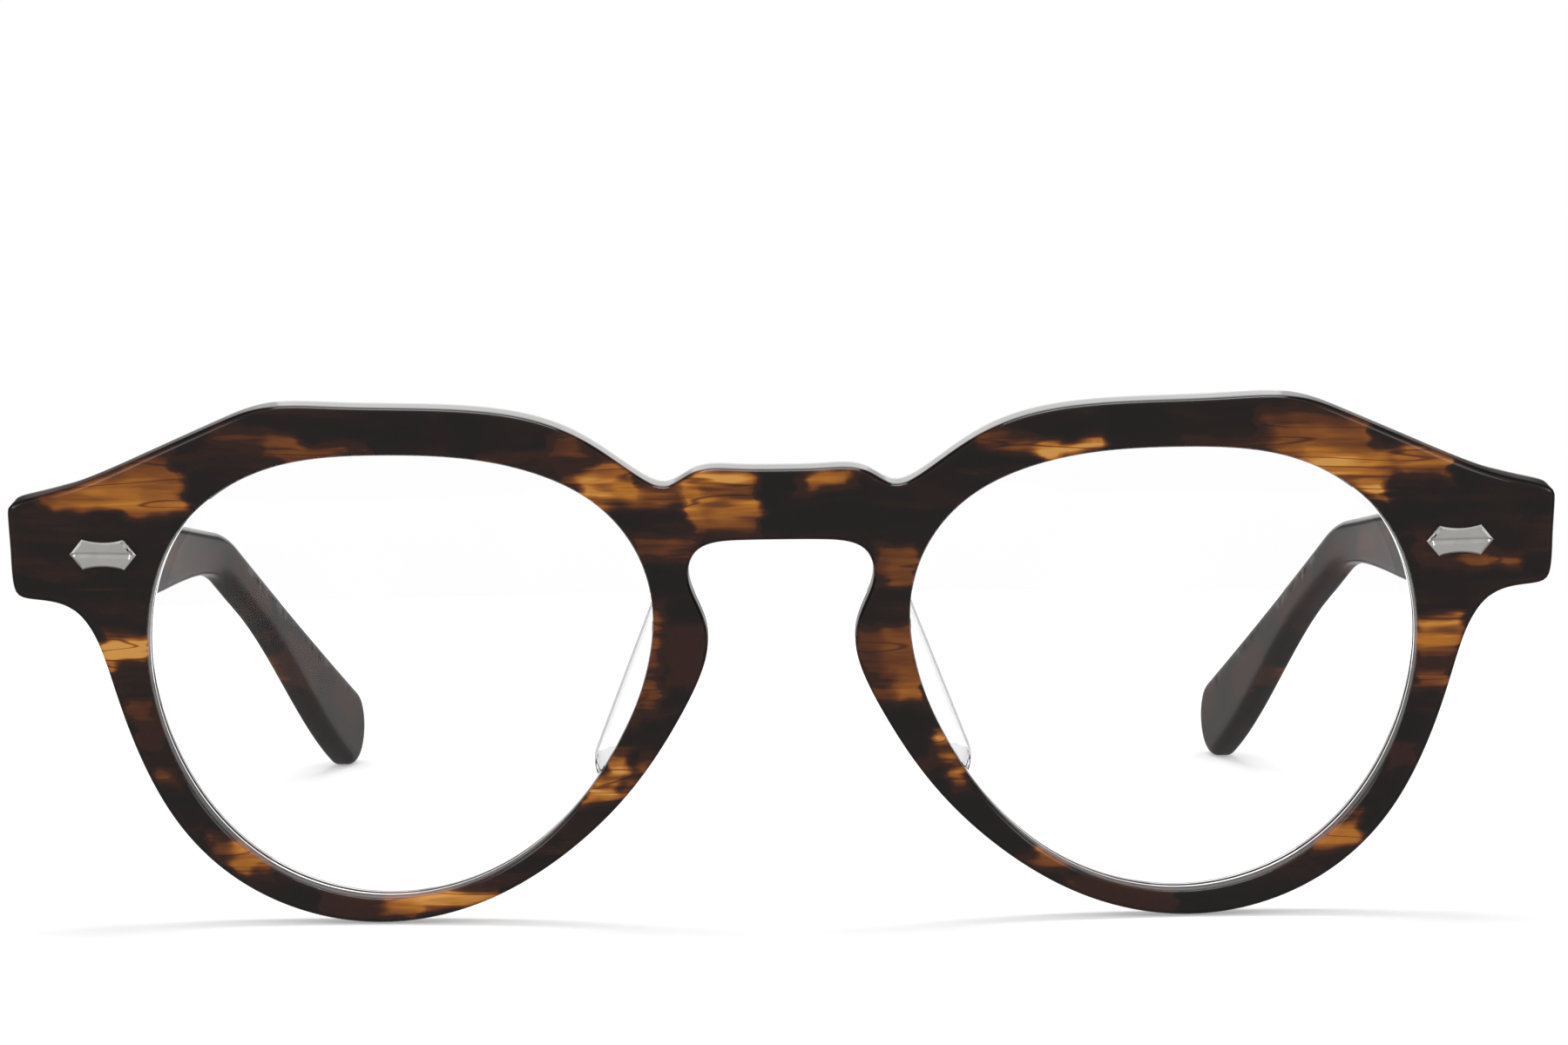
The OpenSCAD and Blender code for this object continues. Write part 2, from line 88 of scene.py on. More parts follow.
# Places on the face of the front: U across it and V up it
LENS_U = (NOSE_W + OPENING_W) / 2
LENS_V = RIM_H + OPENING_H / 2
BROW_V = RIM_H + OPENING_H + BROW_H
BRIDGE_V = BROW_V - BRIDGE_DROP
ARCH_V = BRIDGE_V - BRIDGE_H
END_V = BROW_V - END_DROP
END_LOW = END_V - END_H
END_U = NOSE_W / 2 + OPENING_W + END_L
PLAQUE_U, PLAQUE_V = END_U - PLAQUE_IN, END_LOW + END_H / 2
PAD_U, PAD_V = LENS_U - OPENING_W / 2 + PAD_PAST, LENS_V - PAD_BELOW
TEMPLE_IN = END_U - TEMPLE_INSET

# Lens opening: control points in halves of its width and height, from the top towards the nose
OPENING = [(0.04, 1.03), (-0.38, 1.015), (-0.77, 0.865), (-0.975, 0.575), (-1.02, 0.26),
           (-0.955, -0.08), (-0.775, -0.485), (-0.445, -0.875), (0.055, -1.055), (0.565, -0.9),
           (0.89, -0.48), (1.025, 0.04), (0.975, 0.495), (0.8, 0.805), (0.465, 1.01)]
# Lower rim: control points in halves of the opening with its rim, from the temple to the nose
RIM = [(1.05, 0.15), (0.995, -0.13), (0.84, -0.58), (0.55, -0.885), (0.13, -1.02), (-0.34, -0.91),
       (-0.77, -0.53), (-0.99, -0.14)]


def rim(fx, fy):
    return (LENS_U + fx * (OPENING_W / 2 + RIM_SIDE), LENS_V + fy * (OPENING_H / 2 + RIM_H))


def brow(fx, drop):
    return (LENS_U + fx * OPENING_W / 2, BROW_V - drop)


def end_piece(fx, fy):
    return (END_U - fx * END_L, END_LOW + fy * END_H)


def keyhole(fx, fv):
    return (fx * KEYHOLE_W / 2, ARCH_V - fv * KEYHOLE_H)


# Half of the front's outline, from the middle of the bridge's top round to the keyhole's arch
HALF = [
    (0, BRIDGE_V), (BRIDGE_FLAT / 4, BRIDGE_V), (BRIDGE_FLAT / 2, BRIDGE_V + NOTCH_D / 6),
    (0.66 * BRIDGE_FLAT, BRIDGE_V - NOTCH_D),
    brow(-0.915, BRIDGE_DROP), brow(-0.7, 0.35 * BRIDGE_DROP), brow(-0.44, 0.065 * BRIDGE_DROP),
    brow(-0.13, 0), brow(0.21, 0), brow(0.5, -0.053 * END_DROP), brow(0.69, 0.164 * END_DROP),
    brow(1, 0.525 * END_DROP),
    end_piece(0.45, 1.12), end_piece(0, 1.01), end_piece(-0.01, 0.92), end_piece(0, 0.52),
    end_piece(0, 0.09), end_piece(0.08, 0), end_piece(0.45, 0),
    *[rim(fx, fy) for fx, fy in RIM],
    (0.85 * NECK_W / 2, ARCH_V - KEYHOLE_H), keyhole(1.06, 0.5), keyhole(0.98, 0.02),
    keyhole(0.4, 0), keyhole(0, 0)]


def ease(t):
    """0 up to 0, 1 from 1 on, and a soft rise between them."""
    t = np.clip(t, 0, 1)
    return t * t * (3 - 2 * t)


def mix(a, b, t):
    return a + (b - a) * t


def spline(points, steps, closed):
    """Points along a uniform cubic B-spline."""
    p = np.array(points, float)
    n = len(p)
    spans = range(n) if closed else range(1, n - 2)
    t = np.arange(steps)[:, None] / steps
    parts = []
    for i in spans:
        a, b, c, d = (p[(i + k) % n] for k in (-1, 0, 1, 2))
        parts.append(((1 - t) ** 3 * a + (3 * t ** 3 - 6 * t ** 2 + 4) * b
                      + (-3 * t ** 3 + 3 * t ** 2 + 3 * t + 1) * c + t ** 3 * d) / 6)
    if not closed:
        parts.append((p[-3:-2] + 4 * p[-2:-1] + p[-1:]) / 6)
    return np.vstack(parts)


def evenly(line, pitch, closed=False, count=None):
    """The same line with points at an even pitch. An open line keeps its first point only."""
    p = np.vstack([line, line[:1]]) if closed else np.asarray(line, float)
    run = np.concatenate([[0], np.cumsum(np.linalg.norm(np.diff(p, axis=0), axis=1))])
    count = count or max(2, int(round(run[-1] / pitch)))
    at = np.linspace(0, run[-1], count, endpoint=False)
    return np.column_stack([np.interp(at, run, p[:, k]) for k in (0, 1)])


def anticlockwise(p):
    x, y = p[:, 0], p[:, 1]
    area = np.sum(x * np.roll(y, -1) - np.roll(x, -1) * y)
    return p if area > 0 else p[::-1].copy()


def into(p):
    """Unit normals of an anticlockwise loop, towards its inside."""
    d = np.roll(p, -1, 0) - np.roll(p, 1, 0)
    d /= np.linalg.norm(d, axis=1)[:, None]
    return np.column_stack([-d[:, 1], d[:, 0]])


def tightness(p):
    """Signed curvature of an anticlockwise loop, positive where it is convex."""
    a = np.roll(p, -2, 0) - p
    b = p - np.roll(p, 2, 0)
    turn = np.arctan2(a[:, 1] * b[:, 0] - a[:, 0] * b[:, 1], (a * b).sum(1))
    return turn / (0.5 * (np.linalg.norm(a, axis=1) + np.linalg.norm(b, axis=1)))


def eased(values, reach):
    """A running least value, then a running mean, round a closed loop."""
    low = np.min([np.roll(values, k) for k in range(-reach, reach + 1)], axis=0)
    return np.mean([np.roll(low, k) for k in range(-reach, reach + 1)], axis=0)


# Share of a corner's radius that a rounded edge may take up, and how far its width is evened out
CORNER_SHARE, CORNER_REACH = 0.8, 4
# Steps round a rounded edge
ROUND_STEPS = 6


def rounding(p, width, side):
    """Width of the rounded edge at each point, less where a corner is tight. side -1 is a hole."""
    bend = tightness(p) * side
    room = np.where(bend > 0, CORNER_SHARE / np.maximum(bend, 1e-6), width)
    return eased(np.minimum(width, room), CORNER_REACH)


def round_front(width, deep):
    """Rows of a rounded front edge: how far in from the wall and how deep."""
    return [(width * (1 - math.sin(f)), deep * (1 - math.cos(f)))
            for f in (math.pi / 2 * k / ROUND_STEPS for k in range(ROUND_STEPS + 1))]


def round_back(width, deep, full):
    """The same rows for the back edge of a sheet, in order from the front to the back."""
    return [(i, full - d) for i, d in reversed(round_front(width, deep))]


def wall_rows(front, back, count):
    """Rows down a wall, between the last of the front's rows and the first of the back's."""
    inset, d0 = front[-1]
    d1 = back[0][1]
    return [(inset, d0 + (d1 - d0) * k / count) for k in range(1, count)]


def inside(points, loop):
    """True for each point that lies inside the loop."""
    x, y = points[:, :1], points[:, 1:]
    a, b = loop, np.roll(loop, -1, 0)
    cross = (a[:, 1] > y) != (b[:, 1] > y)
    slope = (b[:, 0] - a[:, 0]) / np.where(b[:, 1] == a[:, 1], 1e-9, b[:, 1] - a[:, 1])
    return (cross & (x < a[:, 0] + slope * (y - a[:, 1]))).sum(1) % 2 == 1


def within(points, rings):
    """True for each point inside the first ring and outside the others."""
    keep = inside(points, rings[0])
    for hole in rings[1:]:
        keep &= ~inside(points, hole)
    return keep


# How many points are measured against a line at once
BATCH = 1000


def nearest(points, line):
    """For each point, the index of the nearest point of a line and the distance to it."""
    index, gap = [], []
    for part in np.array_split(points, 1 + len(points) // BATCH):
        d2 = ((part[:, None] - line[None]) ** 2).sum(2)
        index.append(d2.argmin(1))
        gap.append(np.sqrt(d2.min(1)))
    return np.concatenate(index), np.concatenate(gap)


# In shares of the pitch: distance between rows of new points, and the least from a ring to a point
ROW_SHARE, CLEAR_SHARE = 0.866, 0.62


def fill(rings, pitch):
    """Triangles between an outer ring and its holes, with new points at the pitch."""
    ring_pts = np.vstack(rings)
    lo, hi = rings[0].min(0), rings[0].max(0)
    rows = np.arange(lo[1], hi[1], pitch * ROW_SHARE)
    grid = np.array([(x + (k % 2) * pitch / 2, y) for k, y in enumerate(rows)
                     for x in np.arange(lo[0], hi[0], pitch)])
    grid = grid[within(grid, rings)]
    grid = grid[nearest(grid, ring_pts)[1] > CLEAR_SHARE * pitch]
    points = np.vstack([ring_pts, grid])
    edges, start = [], 0
    for ring in rings:
        n = len(ring)
        edges += [(start + i, start + (i + 1) % n) for i in range(n)]
        start += n
    _, _, tris, origin, _, _ = delaunay_2d_cdt([Vector(p) for p in points], edges, [], 0, 1e-7)
    ids = [o[0] for o in origin]
    tris = np.array([[ids[k] for k in t] for t in tris])
    return grid, tris[within(points[tris].mean(1), rings)]


# The back of a plate is filled at a pitch this much wider
BACK_SPREAD = 1.5


def level(depth):
    """A flat face of a plate, at one depth."""
    return lambda p: np.full(len(p), float(depth))


def plate(name, loops, place, pitch, front_depth, back_depth, paint=None):
    """A plate with shaped edges. Each loop is (points, side, rows, to_sheet): side is 1 for the
    outside and -1 for a hole, and rows are (how far into the material, how deep) from front to back.
    A row may also give its own loop in place of how far it lies into the material.
    place turns flat points and depths into points in millimetres."""
    coords, flats, faces, starts = [], [], [], []
    total = 0
    for points, side, rows, to_sheet in loops:
        n = len(points)
        push = into(points) * side
        starts.append((total, n, len(rows)))
        for inset, deep in rows:
            at = inset if np.ndim(inset) == 2 else points + push * (np.zeros(n) + inset)[:, None]
            deep = np.zeros(n) + deep
            flat = to_sheet(at, deep)
            coords.append(place(flat, deep))
            flats.append(flat)
        for r in range(len(rows) - 1):
            for i in range(n):
                a, b = total + r * n + i, total + r * n + (i + 1) % n
                faces.append((a, a + n, b + n, b) if side > 0 else (a, b, b + n, a + n))
        total += n * len(rows)
    flat_all = np.vstack(flats)
    for back in (False, True):
        rings, ids = [], []
        for start, n, count in starts:
            first = start + (count - 1) * n if back else start
            rings.append(flat_all[first:first + n])
            ids += range(first, first + n)
        grid, tris = fill(rings, pitch * BACK_SPREAD if back else pitch)
        coords.append(place(grid, (back_depth if back else front_depth)(grid)))
        flats.append(grid)
        ids += range(total, total + len(grid))
        total += len(grid)
        for t in tris:
            t = [ids[k] for k in t]
            faces.append(t[::-1] if back else t)
    obj = new_piece(name, np.vstack(coords), faces)
    if paint:
        for key, values in paint(np.vstack(flats), np.vstack(coords)).items():
            obj.data.attributes.new(key, "FLOAT", "POINT").data.foreach_set("value", values)
    return obj


def new_piece(name, coords, faces):
    """A mesh object from points in millimetres, with its faces pointing outwards."""
    mesh = bpy.data.meshes.new(name)
    mesh.from_pydata((np.asarray(coords) * MM).tolist(), [], [tuple(map(int, f)) for f in faces])
    bm = bmesh.new()
    bm.from_mesh(mesh)
    bmesh.ops.recalc_face_normals(bm, faces=bm.faces)
    bm.to_mesh(mesh)
    bm.free()
    mesh.shade_smooth()
    obj = bpy.data.objects.new(name, mesh)
    bpy.context.scene.collection.objects.link(obj)
    return obj


def dress(obj, material, body, slot, *nodes):
    """Gives a piece its material and its body, and hides the nodes that it stands for. The slot is not
    used.
    """
    obj.data.materials.clear()
    obj.data.materials.append(material)
    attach(obj, body)
    if nodes:
        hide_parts(*nodes)


def same(points, deep):
    """The plan of a plate that is drawn flat, at any depth."""
    return points


# Steps to a span of a spline, and the pitch of points round an opening
SPLINE_STEPS, OPENING_PITCH = 12, 0.5

# The front is placed by x across its flat plan, v up its face and a depth behind the face
half = spline([(-HALF[1][0], HALF[1][1]), *HALF, (-HALF[-2][0], HALF[-2][1])], SPLINE_STEPS, False)
OUTLINE = anticlockwise(np.vstack([half, [(-x, y) for x, y in half[::-1] if x > 0.01]]))
OUTLINE[:, 0] = WRAP_R * np.sin(OUTLINE[:, 0] / WRAP_R)


def leaned(x, b, v):
    """Tips points forward with the front: x across, b back and v up before that."""
    return np.column_stack([x, b * math.cos(LEAN) - v * math.sin(LEAN),
                            b * math.sin(LEAN) + v * math.cos(LEAN)])


def bent(flat, deep):
    """Places of points of the flat plan, before the front stands on the floor."""
    b = WRAP_R - np.sqrt((WRAP_R - deep) ** 2 - flat[:, 0] ** 2)
    return leaned(flat[:, 0], b, flat[:, 1])


edge_low = bent(OUTLINE, np.zeros(len(OUTLINE))).min(0)
front_lo = np.array(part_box("front_frame")[0]) / MM
STAND = np.array([0, front_lo[1] - edge_low[1], front_lo[2] - edge_low[2]])


def on_sheet(flat, deep):
    """Places of points of the flat plan, at a depth behind the face."""
    return bent(flat, deep) + STAND


def on_front(u, v):
    """Place of a point beside (u, v) of the front: x along it, y behind it and z up it."""
    a = u / WRAP_R

    def place(local):
        x, y, z = np.asarray(local, float).T
        return leaned(x * math.cos(a) + (WRAP_R - y) * math.sin(a),
                      WRAP_R - (WRAP_R - y) * math.cos(a) + x * math.sin(a), z + v) + STAND
    return place


OPENING_LOOP = anticlockwise(evenly(spline(
    [(x * OPENING_W / 2, y * OPENING_H / 2) for x, y in OPENING], SPLINE_STEPS, True),
    OPENING_PITCH, True))


def opening_to_sheet(side):
    """Turns points round a lens's middle into points of the front's flat plan."""
    a = LENS_U / WRAP_R

    def turn(points, deep):
        across = np.sqrt((WRAP_R - deep) ** 2 - points[:, 0] ** 2) * math.sin(a)
        return np.column_stack([side * (points[:, 0] * math.cos(a) + across), points[:, 1] + LENS_V])
    return turn


# Tortoise patches of the front, in millimetres on its face: from and to across, from and to up,
# slope, and tone from 0 for dark brown to 1 for bright amber. The wearer's left has x above 0.
PATCHES = [
    # Left of the bridge and the brow beside it
    (1.4, 7.4, 42.6, 43.9, 0.16, 0.70), (2.8, 6.2, 43.1, 43.8, 0.14, 0.95),
    (18.4, 25.6, 45.9, 47.3, -0.22, 0.62), (24.6, 29.8, 45.6, 46.5, 0.18, 0.90),
    # Left rim beside the nose, downwards
    (9.0, 12.6, 36.5, 37.0, 0, 0.62), (9.0, 12.4, 33.6, 36.2, 0, 0.34),
    (10.4, 12.3, 33.6, 34.9, 0, 0.58), (6.9, 12.4, 25.3, 29.0, 0, 0.40),
    (9.9, 12.4, 25.0, 28.9, 0, 0.62), (8.0, 12.9, 22.2, 24.9, 0, 0.45),
    (11.3, 12.9, 22.9, 24.7, 0, 0.78), (14.2, 16.7, 15.5, 18.5, -0.4, 0.82),
    (12.4, 13.5, 15.4, 16.4, 0, 0.55), (15.9, 17.4, 13.4, 14.8, 0, 0.36),
    # Foot of the left rim
    (21.6, 27.0, 5.6, 6.9, 0.2, 0.42), (24.2, 26.3, 6.4, 8.0, -0.3, 0.66),
    (27.0, 34.0, 2.2, 4.2, -0.1, 0.26), (31.0, 37.0, 1.2, 3.2, 0, 0.24),
    # Left brow, outwards to the end piece
    (44.5, 54.5, 45.9, 49.0, -0.08, 0.36), (38.0, 46.0, 45.2, 46.4, -0.02, 0.32),
    (53.8, 54.8, 46.8, 47.6, 0, 0.6), (46.5, 62.6, 43.4, 45.8, -0.13, 0.74),
    (49.5, 56.4, 41.9, 44.0, -0.38, 0.92), (58.5, 62.4, 43.2, 44.6, 0, 0.8),
    (64.6, 69.6, 33.9, 35.1, -0.06, 0.56), (60.0, 66.0, 34.2, 35.1, 0, 0.26),
    (59.6, 61.8, 35.7, 37.1, 0, 0.36),
    # Left rim beside the temple, downwards
    (59.6, 64.1, 26.7, 29.2, 0, 0.82), (59.6, 63.9, 24.9, 26.4, 0, 0.54),
    (59.6, 62.8, 22.0, 24.1, 0, 0.64), (57.4, 59.8, 14.8, 16.7, 0, 0.26),
    (50.2, 54.6, 6.6, 9.6, 0.3, 0.72),
    # Right end piece and brow, inwards
    (-69.6, -57.0, 42.6, 45.6, 0.12, 0.44), (-69.4, -58.0, 40.9, 42.4, 0.0, 0.62),
    (-61.0, -55.7, 40.2, 44.3, 0, 0.72), (-67.6, -60.2, 41.4, 42.1, 0.03, 0.84),
    (-53.0, -45.5, 46.6, 48.2, -0.2, 0.42), (-47.5, -38.4, 46.2, 46.8, -0.02, 0.6),
    (-45.8, -41.0, 45.2, 46.2, 0.1, 0.5),
    # Right rim beside the temple, downwards
    (-63.9, -59.6, 25.6, 28.7, 0, 0.92), (-65.6, -63.4, 23.0, 27.4, 0, 0.5),
    (-62.0, -59.8, 20.8, 22.3, 0, 0.38), (-61.0, -58.6, 17.6, 20.3, 0, 0.3),
    (-59.3, -57.4, 14.4, 15.6, 0, 0.58), (-54.6, -50.8, 6.2, 8.8, -0.4, 0.52),
    (-51.9, -48.4, 5.3, 7.7, -0.3, 0.88),
    # Foot of the right rim
    (-44.0, -35.0, 1.2, 3.2, -0.05, 0.36), (-37.5, -27.2, 2.1, 3.9, 0.05, 0.82),
    # Right rim beside the nose, upwards
    (-18.9, -15.4, 12.7, 15.0, 0.3, 0.9), (-16.4, -14.6, 15.7, 17.2, 0, 0.56),
    (-14.7, -13.2, 12.8, 15.0, 0, 0.62), (-13.2, -11.6, 15.1, 17.0, 0, 0.42),
    (-13.2, -11.5, 21.0, 31.0, 0, 0.52),
    # Right brow beside the bridge, the right of the bridge, and the rim below it
    (-27.7, -25.8, 45.2, 45.8, -0.1, 0.82), (-25.0, -19.0, 45.9, 46.5, 0.22, 0.52),
    (-21.2, -18.2, 46.3, 47.4, 0, 0.36), (-20.6, -14.0, 42.9, 44.7, -0.05, 0.5),
    (-16.6, -13.8, 43.8, 45.1, 0, 0.72), (-18.4, -8.0, 41.1, 43.2, 0, 0.97),
    (-8.4, -2.2, 41.7, 44.6, 0, 0.9), (-8.4, -2.2, 40.1, 41.4, 0, 0.72),
    (-8.0, -2.0, 38.2, 39.9, -0.1, 0.3), (-13.6, -7.8, 36.2, 37.0, 0, 0.46),
    (-13.4, -7.8, 37.4, 37.9, 0, 0.46), (-10.5, -7.4, 24.0, 29.0, 0, 0.26),
]
# Patches of a temple: from and to along it, from and to below its top edge, slope and tone
TEMPLE_PATCHES = [
    (1.0, 9.0, 1.0, 5.2, 0.1, 0.8), (15.0, 31.0, 3.6, 7.8, -0.06, 0.74),
    (22.0, 37.0, 0.0, 2.4, 0.04, 0.5), (43.0, 60.0, 1.6, 5.0, 0.05, 0.88),
    (62.0, 74.0, 2.6, 6.0, 0, 0.45), (80.0, 96.0, 0.6, 3.4, 0.03, 0.46),
    (104.0, 118.0, 2.6, 6.6, -0.05, 0.5), (126.0, 137.0, 1.4, 4.6, 0.06, 0.46),
]
# Softness of a patch's edge, how much crisper its ends are, and how far it grows
EDGE_SOFT, END_CRISP, PATCH_GROW = 0.42, 1.6, 0.1
# Waves along a patch's ends and sides: swing, turn across and up per millimetre, and start
END_WAVES = [(0.28, 0.35, 2.3, 0.0), (0.14, 0.0, 5.1, 1.0)]
SIDE_WAVES = [(0.16, 0.9, 0.6, 0.0), (0.08, 2.3, 0.0, 1.7)]
# How strongly the brighter of two patches wins, and the most that cover adds up to
BRIGHT_WINS, COVER_MOST = 6, 1.5
# Paler strips along an opening's edge: side, from and to up the face, width and tone
LIT_EDGES = [(-1, 20.0, 31.5, 0.9, 0.55)]


def waved(values, points, waves):
    """Values with waves added that run over the points."""
    for swing, across, up, start in waves:
        values = values + swing * np.sin(across * points[:, 0] + up * points[:, 1] + start)
    return values


def share_within(deep):
    """A soft yes or no: 1 well within a patch, 0 well outside it."""
    return 1 / (1 + np.exp(-np.clip(deep / EDGE_SOFT, -40, 40)))


def patch_paint(points, patches):
    """How fully each point is covered by patches, and the tone of the patches there."""
    across = waved(points[:, 0], points, END_WAVES)
    up_here = waved(points[:, 1], points, SIDE_WAVES)
    cover = np.zeros(len(points))
    total = np.full(len(points), 1e-9)
    toned = np.zeros(len(points))
    for x0, x1, y0, y1, slope, value in patches:
        up = up_here - slope * (across - (x0 + x1) / 2)
        ends = END_CRISP * np.minimum(across - x0, x1 - across)
        sides = np.minimum(up - y0, y1 - up)
        share = share_within(np.minimum(ends, sides) + PATCH_GROW)
        weight = share * np.exp(BRIGHT_WINS * value)
        cover += share
        total += weight
        toned += weight * value
    return {"patch_cover": np.minimum(cover, COVER_MOST), "patch_tone": toned / total}


def lens_depth(points, deep_in_lens):
    """Depth behind the face of the front, of a point deep in a lens."""
    r2 = (points ** 2).sum(1)
    y = LENS_SEAT + LENS_R - np.sqrt((LENS_R - deep_in_lens) ** 2 - r2)
    return WRAP_R - np.sqrt((WRAP_R - y) ** 2 + points[:, 0] ** 2)


def from_opening(flat, side):
    """How far each point is from the edge of an opening, measured on the flat plan."""
    return nearest(flat, opening_to_sheet(side)(OPENING_LOOP, np.zeros(len(OPENING_LOOP))))[1]


# How far a visible edge stays inside the solid's
SHY = 0.02
# Rounded edges of the front's outline and of its openings: width and depth at face and back
EDGE_W, EDGE_D, BACK_W, BACK_D = 1.25, 0.75, 0.7, 0.5
RIM_EDGE_W, RIM_EDGE_D, RIM_BACK_W, RIM_BACK_D = 0.9, 0.6, 0.6, 0.5
# The back edge is this share as wide where a temple butts on it, and eases to that over a length
BUTTED_SHARE, BUTTED_EASE = 0.25, 2
# Pitch of points along the front's outline and over its face, and steps down its outer wall
OUTLINE_PITCH, FACE_PITCH, WALL_STEPS = 0.45, 0.42, 4
# Painted shade: patches fade to this share of their tone from one depth on, over another, where less light
# comes through
WALL_SHADE_TONE, WALL_FROM, WALL_OVER = 0.5, 0.2, 0.8
# The wall of an opening is dull up to a distance from its edge and from a depth on, eased over
DULL_NEAR, DULL_FROM, DULL_EASE = 0.9, 0.35, 0.4


def front_paint(flat, at):
    """The front's patches, dimmer on its walls, where less light comes through."""
    values = patch_paint(flat, PATCHES)
    for side, v0, v1, width, value in LIT_EDGES:
        near = from_opening(flat, side)
        nose_side = side * flat[:, 0] < LENS_U
        along = np.minimum(flat[:, 1] - v0, v1 - flat[:, 1])
        share = share_within(np.minimum(width - near, along)) * nose_side
        values["patch_tone"] = mix(values["patch_tone"], value, share)
        values["patch_cover"] = np.maximum(values["patch_cover"], share)
    at = at - STAND
    b = at[:, 1] * math.cos(LEAN) + at[:, 2] * math.sin(LEAN)
    deep = WRAP_R - np.hypot(at[:, 0], WRAP_R - b)
    # Painted shade: the patches' tone dims down the walls, where less light comes through the acetate
    values["patch_tone"] *= mix(1.0, WALL_SHADE_TONE, ease((deep - WALL_FROM) / WALL_OVER))
    near = np.minimum(from_opening(flat, -1), from_opening(flat, 1))
    values["wall_dull"] = ease((DULL_NEAR - near) / DULL_EASE) * ease((deep - DULL_FROM) / DULL_EASE)
    return values


def make_front(acetate):
    """The acetate front: a rounded outline, and two openings with a groove for the lens."""
    outer = anticlockwise(evenly(OUTLINE, OUTLINE_PITCH, True))
    outer = outer + into(outer) * SHY
    w = rounding(outer, EDGE_W, 1)
    front = round_front(w, EDGE_D * w / EDGE_W)
    butted = ease((np.abs(outer[:, 0]) - TEMPLE_IN + BUTTED_EASE) / BUTTED_EASE)
    butted = butted * (outer[:, 1] > END_LOW - 1)
    wb = rounding(outer, BACK_W, 1) * mix(1, BUTTED_SHARE, butted)
    back = round_back(wb, BACK_D * wb / BACK_W, FRONT_T)
    loops = [(outer, 1, front + wall_rows(front, back, WALL_STEPS) + back, same)]
    groove = lens_depth(OPENING_LOOP, LENS_T / 2)
    half_w = TONGUE_W / 2 + LENS_GAP
    rows = [*round_front(RIM_EDGE_W, RIM_EDGE_D),
            (0, groove - half_w), (GROOVE_D, groove - half_w),
            (GROOVE_D, groove + half_w), (0, groove + half_w),
            *round_back(RIM_BACK_W, RIM_BACK_D, FRONT_T)]
    loops += [(OPENING_LOOP, -1, rows, opening_to_sheet(side)) for side in (1, -1)]
    obj = plate("tortoise_front", loops, on_sheet, FACE_PITCH, level(0), level(FRONT_T), front_paint)
    dress(obj, acetate, "front", "front_acetate", "front_frame")


# Bevel round a lens, and the pitch of points over it
LENS_BEVEL, LENS_PITCH = 0.06, 1.6


def lens_plate(name):
    """A lens blank that is still flat, with the tongue round its edge."""
    wall, tongue = LENS_GAP, LENS_GAP - GROOVE_D
    near, far_side = (LENS_T - TONGUE_W) / 2, (LENS_T + TONGUE_W) / 2
    rows = [(wall + LENS_BEVEL, 0), (wall, LENS_BEVEL), (wall, near), (tongue, near),
            (tongue, far_side), (wall, far_side), (wall, LENS_T - LENS_BEVEL),
            (wall + LENS_BEVEL, LENS_T)]
    return plate(name, [(OPENING_LOOP, 1, rows, same)],
                 lambda p, d: np.column_stack([p[:, 0], d, p[:, 1]]), LENS_PITCH,
                 level(0), level(LENS_T))


def tree(name, sockets):
    """A geometry tree with named inputs. sockets are (name, kind, default)."""
    t = bpy.data.node_groups.new(name, "GeometryNodeTree")
    t.interface.new_socket("Geometry", in_out="INPUT", socket_type="NodeSocketGeometry")
    t.interface.new_socket("Geometry", in_out="OUTPUT", socket_type="NodeSocketGeometry")
    for label, kind, value in sockets:
        s = t.interface.new_socket(label, in_out="INPUT", socket_type="NodeSocket" + kind)
        if value is not None:
            s.default_value = value
    return t, t.nodes.new("NodeGroupInput"), t.nodes.new("NodeGroupOutput")


def maths(t, kind, a, b=None):
    """A Math node. a and b are sockets or numbers."""
    node = t.nodes.new("ShaderNodeMath")
    node.operation = kind
    for slot_in, value in zip(node.inputs, (a, b)):
        if value is None:
            continue
        if isinstance(value, (int, float)):
            slot_in.default_value = value
        else:
            t.links.new(value, slot_in)
    return node.outputs[0]


def finished(t, start, geometry, end):
    """Ends a geometry tree with real meshes in one material."""
    real = t.nodes.new("GeometryNodeRealizeInstances")
    paint = t.nodes.new("GeometryNodeSetMaterial")
    t.links.new(geometry, real.inputs[0])
    t.links.new(real.outputs[0], paint.inputs["Geometry"])
    t.links.new(start.outputs["Material"], paint.inputs["Material"])
    t.links.new(paint.outputs[0], end.inputs[0])


def lens_curve_tree():
    """Curves a flat lens blank: every point moves back to its own sphere."""
    t, start, end = tree("lens_curve", [("Front radius", "Float", 0.2), ("Seat", "Float", 0.0),
                                        ("Material", "Material", None)])
    where = t.nodes.new("GeometryNodeInputPosition")
    parts = t.nodes.new("ShaderNodeSeparateXYZ")
    joined = t.nodes.new("ShaderNodeCombineXYZ")
    move = t.nodes.new("GeometryNodeSetPosition")
    t.links.new(where.outputs[0], parts.inputs[0])
    x, y, z = parts.outputs[:3]
    radius, seat = start.outputs["Front radius"], start.outputs["Seat"]
    own = maths(t, "SUBTRACT", radius, y)
    flat = maths(t, "ADD", maths(t, "MULTIPLY", x, x), maths(t, "MULTIPLY", z, z))
    back = maths(t, "SQRT", maths(t, "SUBTRACT", maths(t, "MULTIPLY", own, own), flat))
    new_y = maths(t, "SUBTRACT", maths(t, "ADD", seat, radius), back)
    for value, slot_in in zip((x, new_y, z), joined.inputs):
        t.links.new(value, slot_in)
    t.links.new(start.outputs["Geometry"], move.inputs["Geometry"])
    t.links.new(joined.outputs[0], move.inputs["Position"])
    finished(t, start, move.outputs[0], end)
    return t


